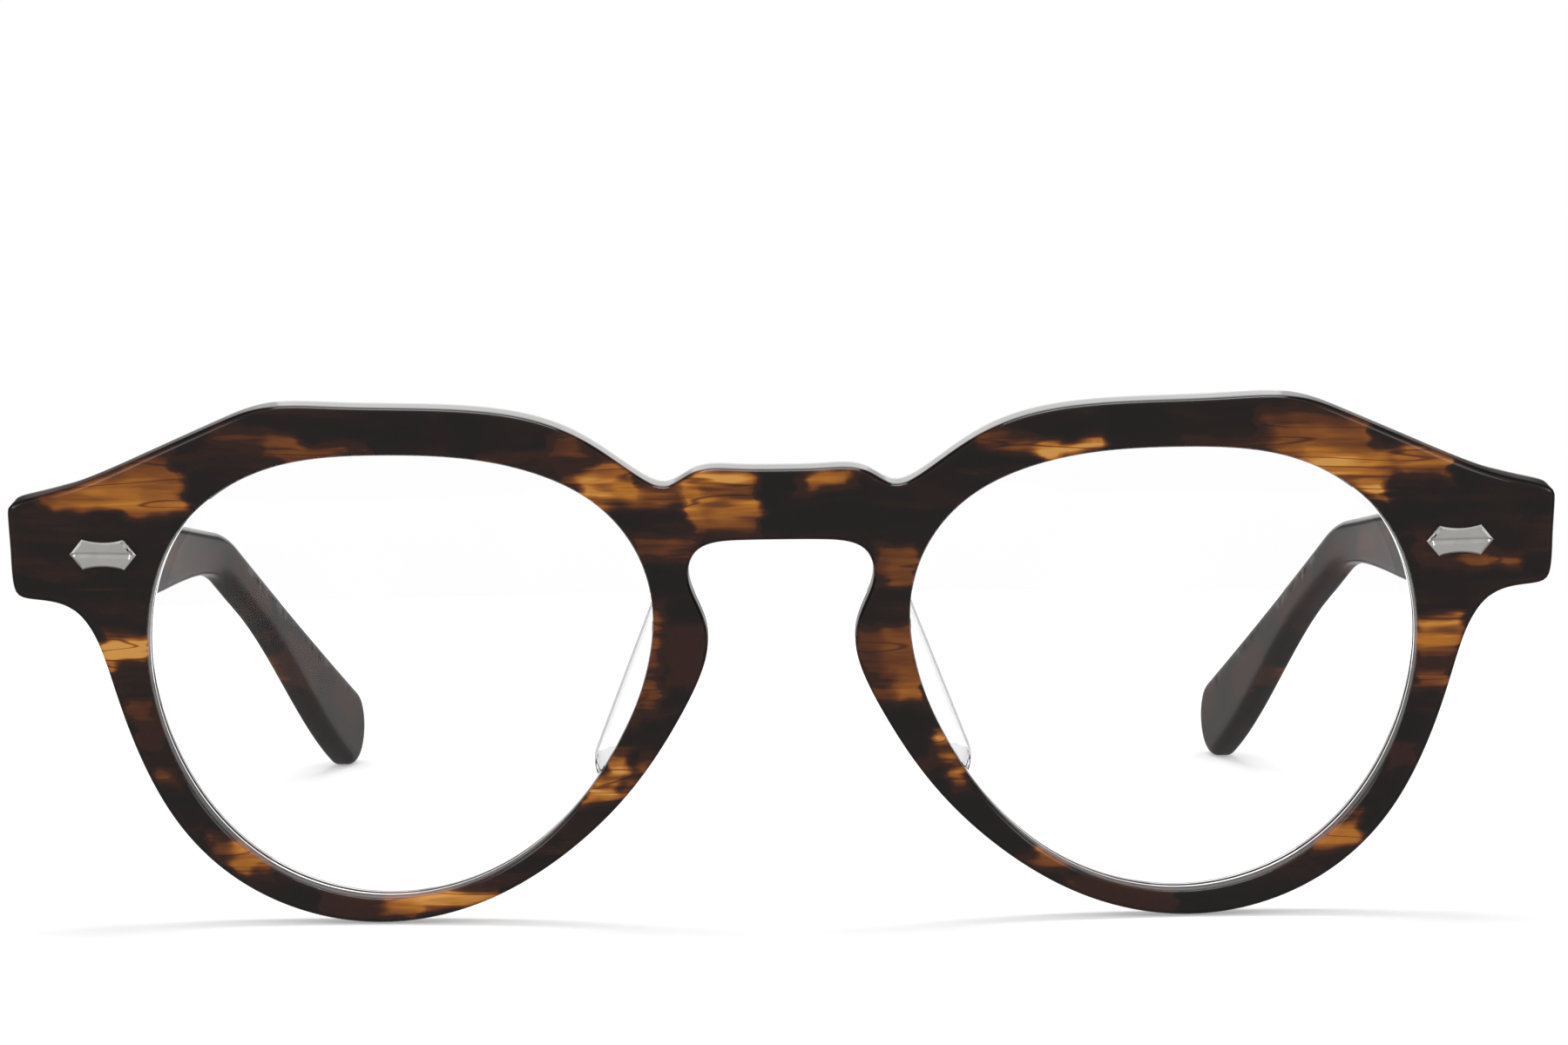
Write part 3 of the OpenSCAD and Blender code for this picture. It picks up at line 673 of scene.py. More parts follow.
def pin_row_tree():
    """Repeats one pin along a row."""
    t, start, end = tree("pin_row", [("Count", "Int", 2), ("Pitch", "Vector", (0.003, 0, 0)),
                                     ("First", "Vector", (0, 0, 0)), ("Material", "Material", None)])
    line = t.nodes.new("GeometryNodeMeshLine")
    copies = t.nodes.new("GeometryNodeInstanceOnPoints")
    t.links.new(start.outputs["Count"], line.inputs["Count"])
    t.links.new(start.outputs["First"], line.inputs["Start Location"])
    t.links.new(start.outputs["Pitch"], line.inputs["Offset"])
    t.links.new(line.outputs[0], copies.inputs["Points"])
    t.links.new(start.outputs["Geometry"], copies.inputs["Instance"])
    finished(t, start, copies.outputs[0], end)
    return t


def grown_by(t, obj, values):
    """Runs a geometry tree on an object and keeps the result as its plain mesh."""
    mod = obj.modifiers.new(t.name, "NODES")
    mod.node_group = t
    for item in t.interface.items_tree:
        if item.item_type == "SOCKET" and item.in_out == "INPUT" and item.name in values:
            mod[item.identifier] = values[item.name]
    graph = bpy.context.evaluated_depsgraph_get()
    mesh = bpy.data.meshes.new_from_object(obj.evaluated_get(graph))
    obj.modifiers.remove(mod)
    old, obj.data = obj.data, mesh
    bpy.data.meshes.remove(old)
    return obj


def moved(obj, place, flip):
    """Moves every point of a piece, given in metres, through a place in millimetres."""
    mesh = obj.data
    at = np.zeros(len(mesh.vertices) * 3)
    mesh.vertices.foreach_get("co", at)
    at = place(at.reshape(-1, 3) / MM) * MM
    if flip:
        at[:, 0] *= -1
        mesh.flip_normals()
    mesh.vertices.foreach_set("co", at.ravel())
    mesh.update()
    mesh.shade_smooth()
    return obj


def make_lenses(clear):
    """Clear lenses, curved and seated in the openings' grooves."""
    curve = lens_curve_tree()
    for side, name in ((1, "left"), (-1, "right")):
        obj = lens_plate(name + "_clear_lens")
        grown_by(curve, obj, {"Front radius": LENS_R * MM, "Seat": LENS_SEAT * MM, "Material": clear})
        moved(obj, on_front(LENS_U, LENS_V), side < 0)
        sharpen(obj, degrees=25)
        dress(obj, clear, "front", "lens_clear", name + "_lens")


def mirrored(obj):
    """Turns a piece of the left side into its twin on the right."""
    return moved(obj, lambda p: p, True)


def outward(obj):
    """Points all faces outwards."""
    bm = bmesh.new()
    bm.from_mesh(obj.data)
    bmesh.ops.recalc_face_normals(bm, faces=bm.faces)
    bm.to_mesh(obj.data)
    bm.free()


def sharpen(obj, degrees):
    """Smooth faces with crisp edges where they meet at more than the angle."""
    bm = bmesh.new()
    bm.from_mesh(obj.data)
    for e in bm.edges:
        e.smooth = not (e.is_manifold and e.calc_face_angle(0) > math.radians(degrees))
    bm.to_mesh(obj.data)
    bm.free()


# Nose pad: upright foot, bevel at its seat, how far its crest stays from its middle line, and how
# far it stays below the solid's top
PAD_FOOT, PAD_BEVEL, PAD_CREST, PAD_SHY = 0.7, 0.05, 0.35, 0.1
# How far the crest leans across, the share by which it is shorter, and the gap to the front's back
PAD_LEAN, PAD_TAPER, PAD_GAP = 0.8, 0.16, 0.05
# Steps up the pad, points round one of its ends, and pitches round it and over its crest
PAD_STEPS, PAD_END_POINTS, PAD_PITCH, CREST_PITCH = 9, 24, 0.4, 0.6


def pad_loop():
    """Long hole shape of a pad's seat, with its middle at 0."""
    r = PAD_W / 2
    ends = PAD_L / 2 - r
    turn = [(r * math.cos(a), ends + r * math.sin(a)) for a in np.linspace(0, math.pi, PAD_END_POINTS)]
    turn += [(-x, -y) for x, y in turn]
    loop = anticlockwise(evenly(np.array(turn), PAD_PITCH, True))
    return loop + into(loop) * SHY


def make_pads(clear):
    """Clear pads that rise from the back of the front to a rounded crest beside the nose."""
    rise = [(PAD_BEVEL, 0), (0, PAD_BEVEL), (0, PAD_FOOT)]
    for k in range(1, PAD_STEPS + 1):
        f = math.pi / 2 * k / PAD_STEPS
        rise.append(((PAD_W / 2 - PAD_CREST) * (1 - math.cos(f)),
                     PAD_FOOT + (PAD_D - PAD_FOOT - PAD_SHY) * math.sin(f)))
    c, s = math.cos(PAD_SPLAY), math.sin(PAD_SPLAY)

    def place(p, d):
        across = p[:, 0] + PAD_LEAN * d / PAD_D
        along = p[:, 1] * (1 - PAD_TAPER * (d / PAD_D) ** 2)
        local = np.column_stack([across * c - along * s, FRONT_T + PAD_GAP + d, across * s + along * c])
        return on_front(PAD_U, PAD_V)(local)

    for side, name in ((1, "left"), (-1, "right")):
        obj = plate(name + "_clear_nose_pad", [(pad_loop(), 1, rise[::-1], same)], place, CREST_PITCH,
                    level(PAD_D - PAD_SHY), level(0))
        if side < 0:
            mirrored(obj)
        outward(obj)
        dress(obj, clear, "front", "pad_clear", name + "_nose_pad")


# Plaque outline: how far it stays inside the solid's, how much faster its tips draw in than its
# sides, and where its corners stand in halves of its length
PLAQUE_SHY, TIP_RUN, CORNER_AT = 0.01, 1.3, 0.62
# Half height at the middle of a hollow side, how much the corners rise above that, and its points
HOLLOW_H, HOLLOW_RISE, HOLLOW_POINTS = 0.8, 0.2, 15
# Points along a tip's edge and along a hollow side
TIP_COUNT, SIDE_COUNT = 14, 32
# Bevel round the plaque's face, and its rounded row: inset, and share of the bevel's depth
BEVEL_W, BEVEL_D, ROUND_IN, ROUND_SHARE = 0.22, 0.14, 0.06, 0.6
# Groove along the middle of the plaque: depth and half width; the dish round it: depth and share
# of the height; both fade towards the tips
SCORE_D, SCORE_W, DISH_D, DISH_SHARE, TIP_FADE = 0.2, 0.3, 0.07, 0.42, 0.3
# Flat rim left at the tips, the slant of their fade, and the pitch of points over the face
TIP_FLAT, TIP_SLANT, PLAQUE_PITCH = 0.1, 0.4, 0.13


def plaque_loop(inset=0.0):
    """Tips at the two ends, four corners, and a hollow top and bottom edge."""
    half_l = PLAQUE_L / 2 - PLAQUE_SHY - TIP_RUN * inset
    half_h = PLAQUE_H / 2 - PLAQUE_SHY - inset
    hollow = [(x * half_l, (HOLLOW_H + HOLLOW_RISE * (x / CORNER_AT) ** 2) * half_h)
              for x in np.linspace(CORNER_AT, -CORNER_AT, HOLLOW_POINTS)]
    lines = (([(half_l, 0), hollow[0]], TIP_COUNT), (hollow, SIDE_COUNT),
             ([hollow[-1], (-half_l, 0)], TIP_COUNT))
    top = np.vstack([evenly(np.array(line), 1, count=count) for line, count in lines])
    return anticlockwise(np.vstack([top, -top]))


def valley(p):
    """Depth of a plaque's face: a groove along its middle in a shallow dish."""
    to_tip = PLAQUE_L / 2 - BEVEL_W - TIP_FLAT - np.abs(p[:, 0]) - TIP_SLANT * np.abs(p[:, 1])
    groove = SCORE_D * np.clip(1 - np.abs(p[:, 1]) / SCORE_W, 0, 1)
    dish = DISH_D * np.clip(1 - np.abs(p[:, 1]) / (DISH_SHARE * PLAQUE_H), 0, 1)
    return (groove + dish) * np.clip(to_tip / TIP_FADE, 0, 1)


def make_plaque(name, place, metal, body, slot, node, flip):
    """A bevelled metal plaque with a valley along it. flip makes the twin of a left one."""
    rows = [(plaque_loop(BEVEL_W), 0), (plaque_loop(ROUND_IN), BEVEL_D * ROUND_SHARE), (0, BEVEL_D),
            (0, PLAQUE_T)]
    obj = plate(name, [(plaque_loop(), 1, rows, same)],
                lambda p, d: place(np.column_stack([p[:, 0], d - PLAQUE_T + PLAQUE_SEAT, p[:, 1]])),
                PLAQUE_PITCH, valley, level(PLAQUE_T))
    if flip:
        mirrored(obj)
    outward(obj)
    sharpen(obj, degrees=28)
    dress(obj, metal, body, slot, node)


def box_of(node):
    """Lowest and highest corner of a solid, in millimetres."""
    return [np.array(corner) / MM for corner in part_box(node)]


# A temple is drawn from the side, with y back and z up, and then gets its place from above
screw_box = box_of("left_hinge_screw")
HINGE_Y = (screw_box[0][1] + screw_box[1][1]) / 2
TIP_Y = box_of("left_temple")[1][1]
TEMPLE_MID_U = TEMPLE_IN + TEMPLE_T / 2
front_back = WRAP_R - (WRAP_R - FRONT_T) * math.cos(TEMPLE_MID_U / WRAP_R)
RIDGE_Z = (leaned(np.zeros(1), np.array([front_back]), np.array([END_V - EDGE_STEP]))[0] + STAND)[2]


def heading(s, drop):
    """Slope of the top edge at a length s behind the hinge. drop is the slope behind the ear."""
    return np.minimum(drop, SLOPE + np.maximum(0, s - BEND_AT) / BEND_R)


def ridge(s, drop):
    """Points of the top edge."""
    straight = np.minimum(s, BEND_AT)
    h = heading(s, drop)
    rest = np.maximum(0, s - BEND_AT - BEND_R * (drop - SLOPE))
    bend_back = BEND_R * (np.sin(h) - math.sin(SLOPE))
    bend_down = BEND_R * (math.cos(SLOPE) - np.cos(h))
    return np.column_stack([HINGE_Y + straight * math.cos(SLOPE) + bend_back + rest * np.cos(h),
                            RIDGE_Z - straight * math.sin(SLOPE) - bend_down - rest * np.sin(h)])


def temple_len(drop):
    return BEND_AT + BEND_R * (drop - SLOPE) + EAR_L


def height(s, end):
    """Height of the temple at a length s, square to its top edge."""
    first = mix(END_H - 2 * EDGE_STEP, SHOULDER_H, s / (BEND_AT - TAPER_L))
    taper = mix(SHOULDER_H, WAIST_H, ease((s - BEND_AT + TAPER_L) / TAPER_L))
    last = mix(WAIST_H, TIP_H, ease((s - BEND_AT - WAIST_L) / (end - TIP_L - BEND_AT - WAIST_L)))
    return np.where(s < BEND_AT - TAPER_L, first, np.where(s < BEND_AT + WAIST_L, taper, last))


def below(s, depth, drop):
    """Points at a depth below the top edge."""
    h = heading(s, drop)
    return ridge(s, drop) - np.asarray(depth)[:, None] * np.column_stack([np.sin(h), np.cos(h)])


# Directions of the points round the tip, from its top to its underside
TIP_TURNS = np.radians(np.arange(87, -88, -6))


def round_tip(s, r, drop):
    """The round end of the tip."""
    a = TIP_TURNS - drop
    return below(np.array([s]), np.array([r]), drop) + r * np.column_stack([np.cos(a), np.sin(a)])


# Stations along a temple, the steepest slope tried, how often the range is halved, and how low a
# tip is when it counts as standing
STATIONS, STEEPEST, HALVINGS, STANDING = 57, math.radians(50), 24, 0.02


def lowest(drop):
    """Height of the lowest point of a temple over the floor."""
    end = temple_len(drop)
    s = np.linspace(0, end - TIP_H / 2, STATIONS)
    edge = below(s, height(s, end), drop)
    return min(edge[:, 1].min(), round_tip(end - TIP_H / 2, TIP_H / 2, drop)[:, 1].min())


def level_drop():
    """Slope behind the ear at which the tips stand on one surface with the rims."""
    lo, hi = SLOPE, STEEPEST
    for _ in range(HALVINGS):
        m = (lo + hi) / 2
        lo, hi = (m, hi) if lowest(m) > STANDING else (lo, m)
    return (lo + hi) / 2


# The top edge is measured against from before the hinge to past the tip, at this many points
RIDGE_BEFORE, RIDGE_PAST, RIDGE_POINTS = 8, 4, 500


def along_temple(p, drop):
    """Length along the temple and depth below its top edge, of points seen from the side."""
    s = np.linspace(-RIDGE_BEFORE, temple_len(drop) + RIDGE_PAST, RIDGE_POINTS)
    index, gap = nearest(p, ridge(s, drop))
    return np.column_stack([s[index], gap])


REACH = TIP_Y - HINGE_Y
# A temple turns inwards from the middle of its leaf on, slowly at first
TOE_FROM, TOE_POWER = HINGE_Y + TEMPLE_LEAF_L / 2, 1.3


def inner_x(y):
    """Inner face of a temple, seen from above."""
    return TEMPLE_IN - TOE_IN * (np.maximum(0, y - TOE_FROM) / (TIP_Y - TOE_FROM)) ** TOE_POWER


def thick(y):
    """Thickness of a temple, seen from above."""
    return mix(TEMPLE_T, EAR_T, ease((y - HINGE_Y) / (REACH / 2)))


# Length at which a temple's edges start, before the butt face that trims them, and the points
# along each of them
TEMPLE_FROM, TEMPLE_POINTS = -6, 240
# How far the top edge sinks at the butt face, and over which length it comes up again
BUTT_SINK, SINK_OVER = 0.4, 14
# Pitch of points along the edges, round the tip and down the butt face, and over the faces
SIDE_PITCH, TIP_PITCH, BUTT_PITCH, TEMPLE_PITCH = 0.5, 0.4, 0.35, 0.7
# Rounded edge: full width, width at the butt face, where and how fast it grows behind that, how
# many points that is evened out over, and its depth as a share of its width
TEMPLE_EDGE, BUTT_EDGE, GROW_FROM, GROW, GROW_REACH, EDGE_SHARE = 1.3, 0.16, 0.5, 0.4, 3, 0.8
# Length over which the butt face's slant fades, and share of a patch's tone on the inner face
SLANT_OVER, INNER_TONE = 12, 0.42
# The right temple shows the sheet's pattern from another place
RIGHT_SHIFT = 7.0


def make_temples(acetate):
    """Two acetate temples, trimmed where they butt on the end pieces."""
    drop = level_drop()
    end = temple_len(drop)
    last = end - TIP_H / 2
    a = TEMPLE_IN / WRAP_R
    butt = WRAP_R - (WRAP_R - FRONT_T - BUTT_GAP) * math.cos(a)

    def behind(p):
        """How far points lie behind the butt face."""
        return (p[:, 0] * math.cos(LEAN) - STAND[1] * math.cos(LEAN)
                + (p[:, 1] - STAND[2]) * math.sin(LEAN) - butt)

    def trim(line):
        """The part of a line behind the butt face, with a new end point on that face."""
        b = behind(line)
        if b[0] < 0:
            k = np.argmax(b > 0)
            cut = mix(line[k - 1], line[k], b[k - 1] / (b[k - 1] - b[k]))
            return np.vstack([[cut], line[k:]])
        k = np.argmin(b > 0) - 1
        cut = mix(line[k], line[k + 1], b[k] / (b[k] - b[k + 1]))
        return np.vstack([line[:k + 1], [cut]])

    s = np.linspace(TEMPLE_FROM, last, TEMPLE_POINTS)
    top = trim(below(s, BUTT_SINK * (1 - ease(s / SINK_OVER)), drop))
    low = trim(below(s, height(s, end), drop)[::-1])
    tip = round_tip(last, TIP_H / 2, drop)
    loop = anticlockwise(np.vstack([
        evenly(np.vstack([top, tip[:1]]), SIDE_PITCH), evenly(np.vstack([tip, low[:1]]), TIP_PITCH),
        evenly(low, SIDE_PITCH), evenly(np.array([low[-1], top[0]]), BUTT_PITCH)]))
    loop = loop + into(loop) * SHY
    room = BUTT_EDGE + GROW * np.maximum(0, behind(loop) - GROW_FROM)
    w = eased(np.minimum(TEMPLE_EDGE, room), GROW_REACH)
    front = round_front(w, w * EDGE_SHARE)
    back = round_back(w, w * EDGE_SHARE, thick(loop[:, 0]))
    rows = front + wall_rows(front, back, 3) + back
    slant = math.tan(a)

    for side, name, shift in ((1, "left", 0.0), (-1, "right", RIGHT_SHIFT)):
        def place(p, d):
            near = np.clip(1 - behind(p) / SLANT_OVER, 0, 1)
            across = side * (inner_x(p[:, 0]) + d)
            return np.column_stack([across, p[:, 0] + slant * d * near, p[:, 1]])

        def paint(flat, at):
            values = patch_paint(along_temple(flat, drop) + [shift, 0], TEMPLE_PATCHES)
            share = (np.abs(at[:, 0]) - inner_x(flat[:, 0])) / thick(flat[:, 0])
            values["patch_tone"] = values["patch_tone"] * mix(INNER_TONE, 1.0, ease(share))
            return values

        obj = plate(name + "_tortoise_temple", [(loop, 1, rows, same)], place, TEMPLE_PITCH,
                    level(0), lambda p: thick(p[:, 0]), paint)
        outward(obj)
        dress(obj, acetate, name + "_side", "temple_acetate", name + "_temple")


# Pins: radius of the shank and of its hidden end in shares of the solid's, bevel there, and points
# round it
SHANK, SHANK_END, SHANK_BEVEL, PIN_SIDES = 0.99, 0.94, 0.05, 24
# The rounded head: where it starts below the pin's length, its rise, its top, and steps round it
HEAD_START, HEAD_RISE, HEAD_TOP, HEAD_STEPS = 0.02, 0.14, 0.12, (20, 40, 60, 78)


def one_pin(name, length):
    """A pin along y, with a rounded head at its free end."""
    profile = [(PIN_R * SHANK_END, 0), (PIN_R * SHANK, SHANK_BEVEL), (PIN_R * SHANK, length - HEAD_START)]
    profile += [(PIN_R * SHANK * math.cos(f), length - HEAD_START + HEAD_RISE * math.sin(f))
                for f in np.radians(HEAD_STEPS)]
    turns = np.linspace(0, 2 * math.pi, PIN_SIDES, endpoint=False)
    coords = [(x * math.cos(t), h, x * math.sin(t)) for x, h in profile for t in turns]
    coords += [(0, 0, 0), (0, length + HEAD_TOP, 0)]
    foot, head = len(coords) - 2, len(coords) - 1
    last = (len(profile) - 1) * PIN_SIDES
    faces = []
    for r in range(len(profile) - 1):
        for i in range(PIN_SIDES):
            a, b = r * PIN_SIDES + i, r * PIN_SIDES + (i + 1) % PIN_SIDES
            faces.append((a, b, b + PIN_SIDES, a + PIN_SIDES))
    for i in range(PIN_SIDES):
        j = (i + 1) % PIN_SIDES
        faces += [(foot, j, i), (head, last + i, last + j)]
    return new_piece(name, coords, faces)


def make_pins(metal):
    """Two pins a side on the front and two on each temple."""
    row = pin_row_tree()
    leaf_back = FRONT_T + LEAF_T - LEAF_SEAT
    for side, name in ((1, "left"), (-1, "right")):
        obj = one_pin(name + "_front_pins", leaf_back - PLAQUE_SEAT)
        grown_by(row, obj, {"Count": 2, "Pitch": (PIN_PITCH * MM, 0, 0),
                            "First": (-PIN_PITCH / 2 * MM, PLAQUE_SEAT * MM, 0), "Material": metal})
        moved(obj, on_front(PLAQUE_U, PLAQUE_V), side < 0)
        sharpen(obj, degrees=50)
        dress(obj, metal, "front", "rivet_metal", name + "_front_rivets")

        lo, hi = box_of(name + "_temple_rivets")
        middle = (lo + hi) / 2
        outer = hi[0] if side > 0 else lo[0]

        def on_temple(p):
            return np.column_stack([outer - side * p[:, 1], middle[1] + side * p[:, 2],
                                    middle[2] + p[:, 0]])

        obj = one_pin(name + "_temple_pins", hi[0] - lo[0])
        grown_by(row, obj, {"Count": 2, "Pitch": (0, 0, -TEMPLE_PIN_PITCH * MM),
                            "First": (0, 0, TEMPLE_PIN_PITCH / 2 * MM), "Material": metal})
        moved(obj, on_temple, False)
        outward(obj)
        sharpen(obj, degrees=50)
        dress(obj, metal, name + "_side", "rivet_metal", name + "_temple_rivets")


# Materials
def group(name, inputs, outputs):
    """A shader node group with named inputs and outputs."""
    t = bpy.data.node_groups.new(name, "ShaderNodeTree")
    for label, kind, value in inputs:
        s = t.interface.new_socket(label, in_out="INPUT", socket_type="NodeSocket" + kind)
        if value is not None:
            s.default_value = value
    for label, kind in outputs:
        t.interface.new_socket(label, in_out="OUTPUT", socket_type="NodeSocket" + kind)
    return t, t.nodes.new("NodeGroupInput"), t.nodes.new("NodeGroupOutput")


def ramp(t, fac, stops):
    node = t.nodes.new("ShaderNodeValToRGB")
    while len(node.color_ramp.elements) < len(stops):
        node.color_ramp.elements.new(0.5)
    for e, (at, colour) in zip(node.color_ramp.elements, stops):
        e.position = at
        e.color = (*colour, 1)
    t.links.new(fac, node.inputs[0])
    return node.outputs[0]


# Values between which most of a noise lies
NOISE_SPAN = (0.3, 0.7)


def noise(t, where, size, detail, distortion=0.0):
    """Noise in patches of the given size, in metres, along each axis of an object."""
    mapping = t.nodes.new("ShaderNodeMapping")
    mapping.inputs["Scale"].default_value = [1 / s for s in size]
    node = t.nodes.new("ShaderNodeTexNoise")
    node.inputs["Scale"].default_value = 1.0
    node.inputs["Detail"].default_value = detail
    node.inputs["Distortion"].default_value = distortion
    t.links.new(where, mapping.inputs[0])
    t.links.new(mapping.outputs[0], node.inputs["Vector"])
    return node.outputs[0]


def map_range(t, value, a, b, c=0.0, d=1.0):
    """A smooth change from c, where the value is a, to d, where it is b."""
    node = t.nodes.new("ShaderNodeMapRange")
    node.interpolation_type = "SMOOTHSTEP"
    for k, v in zip(("From Min", "From Max", "To Min", "To Max"), (a, b, c, d)):
        node.inputs[k].default_value = v
    t.links.new(value, node.inputs["Value"])
    return node.outputs[0]


def scaled(t, colour, factor):
    """A colour times a factor that changes over the surface."""
    node = t.nodes.new("ShaderNodeVectorMath")
    node.operation = "SCALE"
    t.links.new(colour, node.inputs[0])
    t.links.new(factor, node.inputs["Scale"])
    return node.outputs[0]


# Sizes of the tortoise's marks along x, y and z, in metres
STREAK_SIZE, FINE_SIZE = (0.013, 0.006, 0.0021), (0.008, 0.004, 0.0006)
GRAIN_SIZE, CLOUD_SIZE = (0.019, 0.006, 0.0017), (0.012, 0.006, 0.0035)
# How far streaks and fine lines push a patch's edge about
STREAK_PUSH, FINE_PUSH = 1.6, 0.5
# Cover over which a patch comes up, and over which its warm halo does
PATCH_UP, HALO_UP = (0.12, 1.1), (0.0, 0.5)
# Share of that push in the halo, and the halo's tone
HALO_PUSH, HALO_TONE = 0.5, 0.26
# Tone of a patch between its streaks, and what streaks and fine lines add
PLAIN_TONE, STREAK_TONE, FINE_TONE = 0.78, 0.3, 0.16
# Half width of the dark veins in the grain noise, and the tone in them
VEIN_W, VEIN_TONE = 0.03, 0.66
# Brownish smoke in the dark acetate
SMOKE_UP, SMOKE_TONE = (0.42, 0.66), 0.2
# Roughness of the polish, and how much the clouds add
POLISH, CLOUD_ROUGH = 0.08, 0.05
# Colours from dark brown to bright amber
TORTOISE = [(0.0, (0.0075, 0.0050, 0.0042)), (0.14, (0.0140, 0.0062, 0.0045)),
            (0.3, (0.038, 0.0115, 0.0058)), (0.5, (0.115, 0.0310, 0.0075)),
            (0.7, (0.250, 0.0760, 0.0110)), (0.88, (0.50, 0.1750, 0.0180)),
            (1.0, (0.72, 0.340, 0.075))]


def tortoise_group():
    """Colour of tortoise acetate: streaky amber patches in nearly black brown."""
    t, start, end = group("tortoise_streaks", [("Where", "Vector", None), ("Cover", "Float", 0.0),
                                               ("Tone", "Float", 0.5)],
                          [("Color", "Color"), ("Roughness", "Float")])

    def add(a, b):
        return maths(t, "ADD", a, b)

    def times(a, b):
        return maths(t, "MULTIPLY", a, b)

    def centred(a):
        return maths(t, "SUBTRACT", a, 0.5)

    where, cover, tone = start.outputs[:3]
    streak = noise(t, where, STREAK_SIZE, detail=2, distortion=0.7)
    fine = noise(t, where, FINE_SIZE, detail=2, distortion=0.4)
    grain = noise(t, where, GRAIN_SIZE, detail=1, distortion=0.5)
    cloud = noise(t, where, CLOUD_SIZE, detail=3, distortion=0.8)
    wander = add(times(centred(streak), STREAK_PUSH), times(centred(fine), FINE_PUSH))
    mask = map_range(t, add(cover, wander), *PATCH_UP)
    halo = map_range(t, add(cover, times(wander, HALO_PUSH)), *HALO_UP, 0.0, HALO_TONE)
    lively = add(times(map_range(t, streak, *NOISE_SPAN), STREAK_TONE),
                 times(map_range(t, fine, *NOISE_SPAN), FINE_TONE))
    shade = times(times(tone, mask), add(lively, PLAIN_TONE))
    vein = map_range(t, maths(t, "ABSOLUTE", centred(grain)), 0.0, VEIN_W, VEIN_TONE, 1.0)
    smoke = times(times(map_range(t, cloud, *SMOKE_UP), SMOKE_TONE), add(fine, 0.5))
    shade = maths(t, "MAXIMUM", times(shade, vein), maths(t, "MAXIMUM", halo, smoke))
    t.links.new(ramp(t, shade, TORTOISE), end.inputs["Color"])
    t.links.new(add(times(cloud, CLOUD_ROUGH), POLISH), end.inputs["Roughness"])
    return t


def new_material(name):
    m = bpy.data.materials.new(name)
    m.use_nodes = True
    t = m.node_tree
    return m, t, t.nodes["Principled BSDF"]


# A finish may change along y, between these two places in metres
FINISH_FROM, FINISH_TO = -0.035, 0.015
# Roughness that a dull wall adds
WALL_ROUGH = 0.4


def acetate_material(name, streaks, near, far):
    """Tortoise acetate. Near and far each give the roughness added to the polish, and the specular
    level, for the piece's front end and for its rear."""
    m, t, skin = new_material(name)
    coords = t.nodes.new("ShaderNodeTexCoord")
    g = t.nodes.new("ShaderNodeGroup")
    g.node_tree = streaks
    t.links.new(coords.outputs["Object"], g.inputs["Where"])

    def painted(key):
        node = t.nodes.new("ShaderNodeAttribute")
        node.attribute_name = key
        return node.outputs["Fac"]

    t.links.new(painted("patch_cover"), g.inputs["Cover"])
    t.links.new(painted("patch_tone"), g.inputs["Tone"])
    t.links.new(g.outputs["Color"], skin.inputs["Base Color"])
    parts = t.nodes.new("ShaderNodeSeparateXYZ")
    t.links.new(coords.outputs["Object"], parts.inputs[0])
    satin, shine = (map_range(t, parts.outputs["Y"], FINISH_FROM, FINISH_TO, a, b)
                    for a, b in zip(near, far))
    dull = maths(t, "ADD", maths(t, "MULTIPLY", painted("wall_dull"), WALL_ROUGH), satin)
    t.links.new(maths(t, "ADD", g.outputs["Roughness"], dull), skin.inputs["Roughness"])
    t.links.new(shine, skin.inputs["Specular IOR Level"])
    return m


# Size of the polishing marks on clear plastic, in metres, and how they change tint and roughness
MARK_SIZE, MARK_TINT, MARK_ROUGH = (0.01, 0.01, 0.01), 1.01, (0.6, 1.4)
# How edge-on a clear surface is where its painted edge shade starts to darken the tint and where it is
# darkest
EDGE_ON_SHADE = (0.25, 0.8)


def clear_material(name, ior, tint, rough, edge):
    """Clear plastic that lets the lamps through, with faint polishing marks. Its tint carries painted
    shade, darkening to the share edge where it is seen edge-on, for the dark outline of glass."""
    m, t, skin = new_material(name)
    skin.inputs["Transmission Weight"].default_value = 1
    skin.inputs["IOR"].default_value = ior
    coords = t.nodes.new("ShaderNodeTexCoord")
    marks = noise(t, coords.outputs["Object"], MARK_SIZE, detail=2)
    marked = tuple(min(1, c * MARK_TINT) for c in tint)
    slant = t.nodes.new("ShaderNodeLayerWeight")
    slant.inputs["Blend"].default_value = 0.5
    # Painted shade: the tint darkens where the surface is seen edge-on
    edge_shade = map_range(t, slant.outputs["Facing"], *EDGE_ON_SHADE, 1.0, edge)
    shade = scaled(t, ramp(t, marks, list(zip(NOISE_SPAN, (tint, marked)))), edge_shade)
    t.links.new(shade, skin.inputs["Base Color"])
    finish = map_range(t, marks, *NOISE_SPAN, *(rough * share for share in MARK_ROUGH))
    t.links.new(finish, skin.inputs["Roughness"])
    path = t.nodes.new("ShaderNodeLightPath")
    hole = t.nodes.new("ShaderNodeBsdfTransparent")
    both = t.nodes.new("ShaderNodeMixShader")
    t.links.new(path.outputs["Is Shadow Ray"], both.inputs[0])
    t.links.new(skin.outputs[0], both.inputs[1])
    t.links.new(hole.outputs[0], both.inputs[2])
    t.links.new(both.outputs[0], t.nodes["Material Output"].inputs["Surface"])
    return m


# Brushed metal: sizes of its lines and spots in metres, how they shade it, and its plain shade
LINE_SIZE, SPOT_SIZE = (0.0016, 0.0016, 0.00008), (0.0012, 0.0012, 0.0012)
LINE_SHADE, SPOT_SHADE, PLAIN_SHADE = 0.12, 0.16, 0.84
# Depth of the brush lines in metres, and how strongly they show
LINE_DEPTH, LINE_BUMP = 0.00002, 0.15


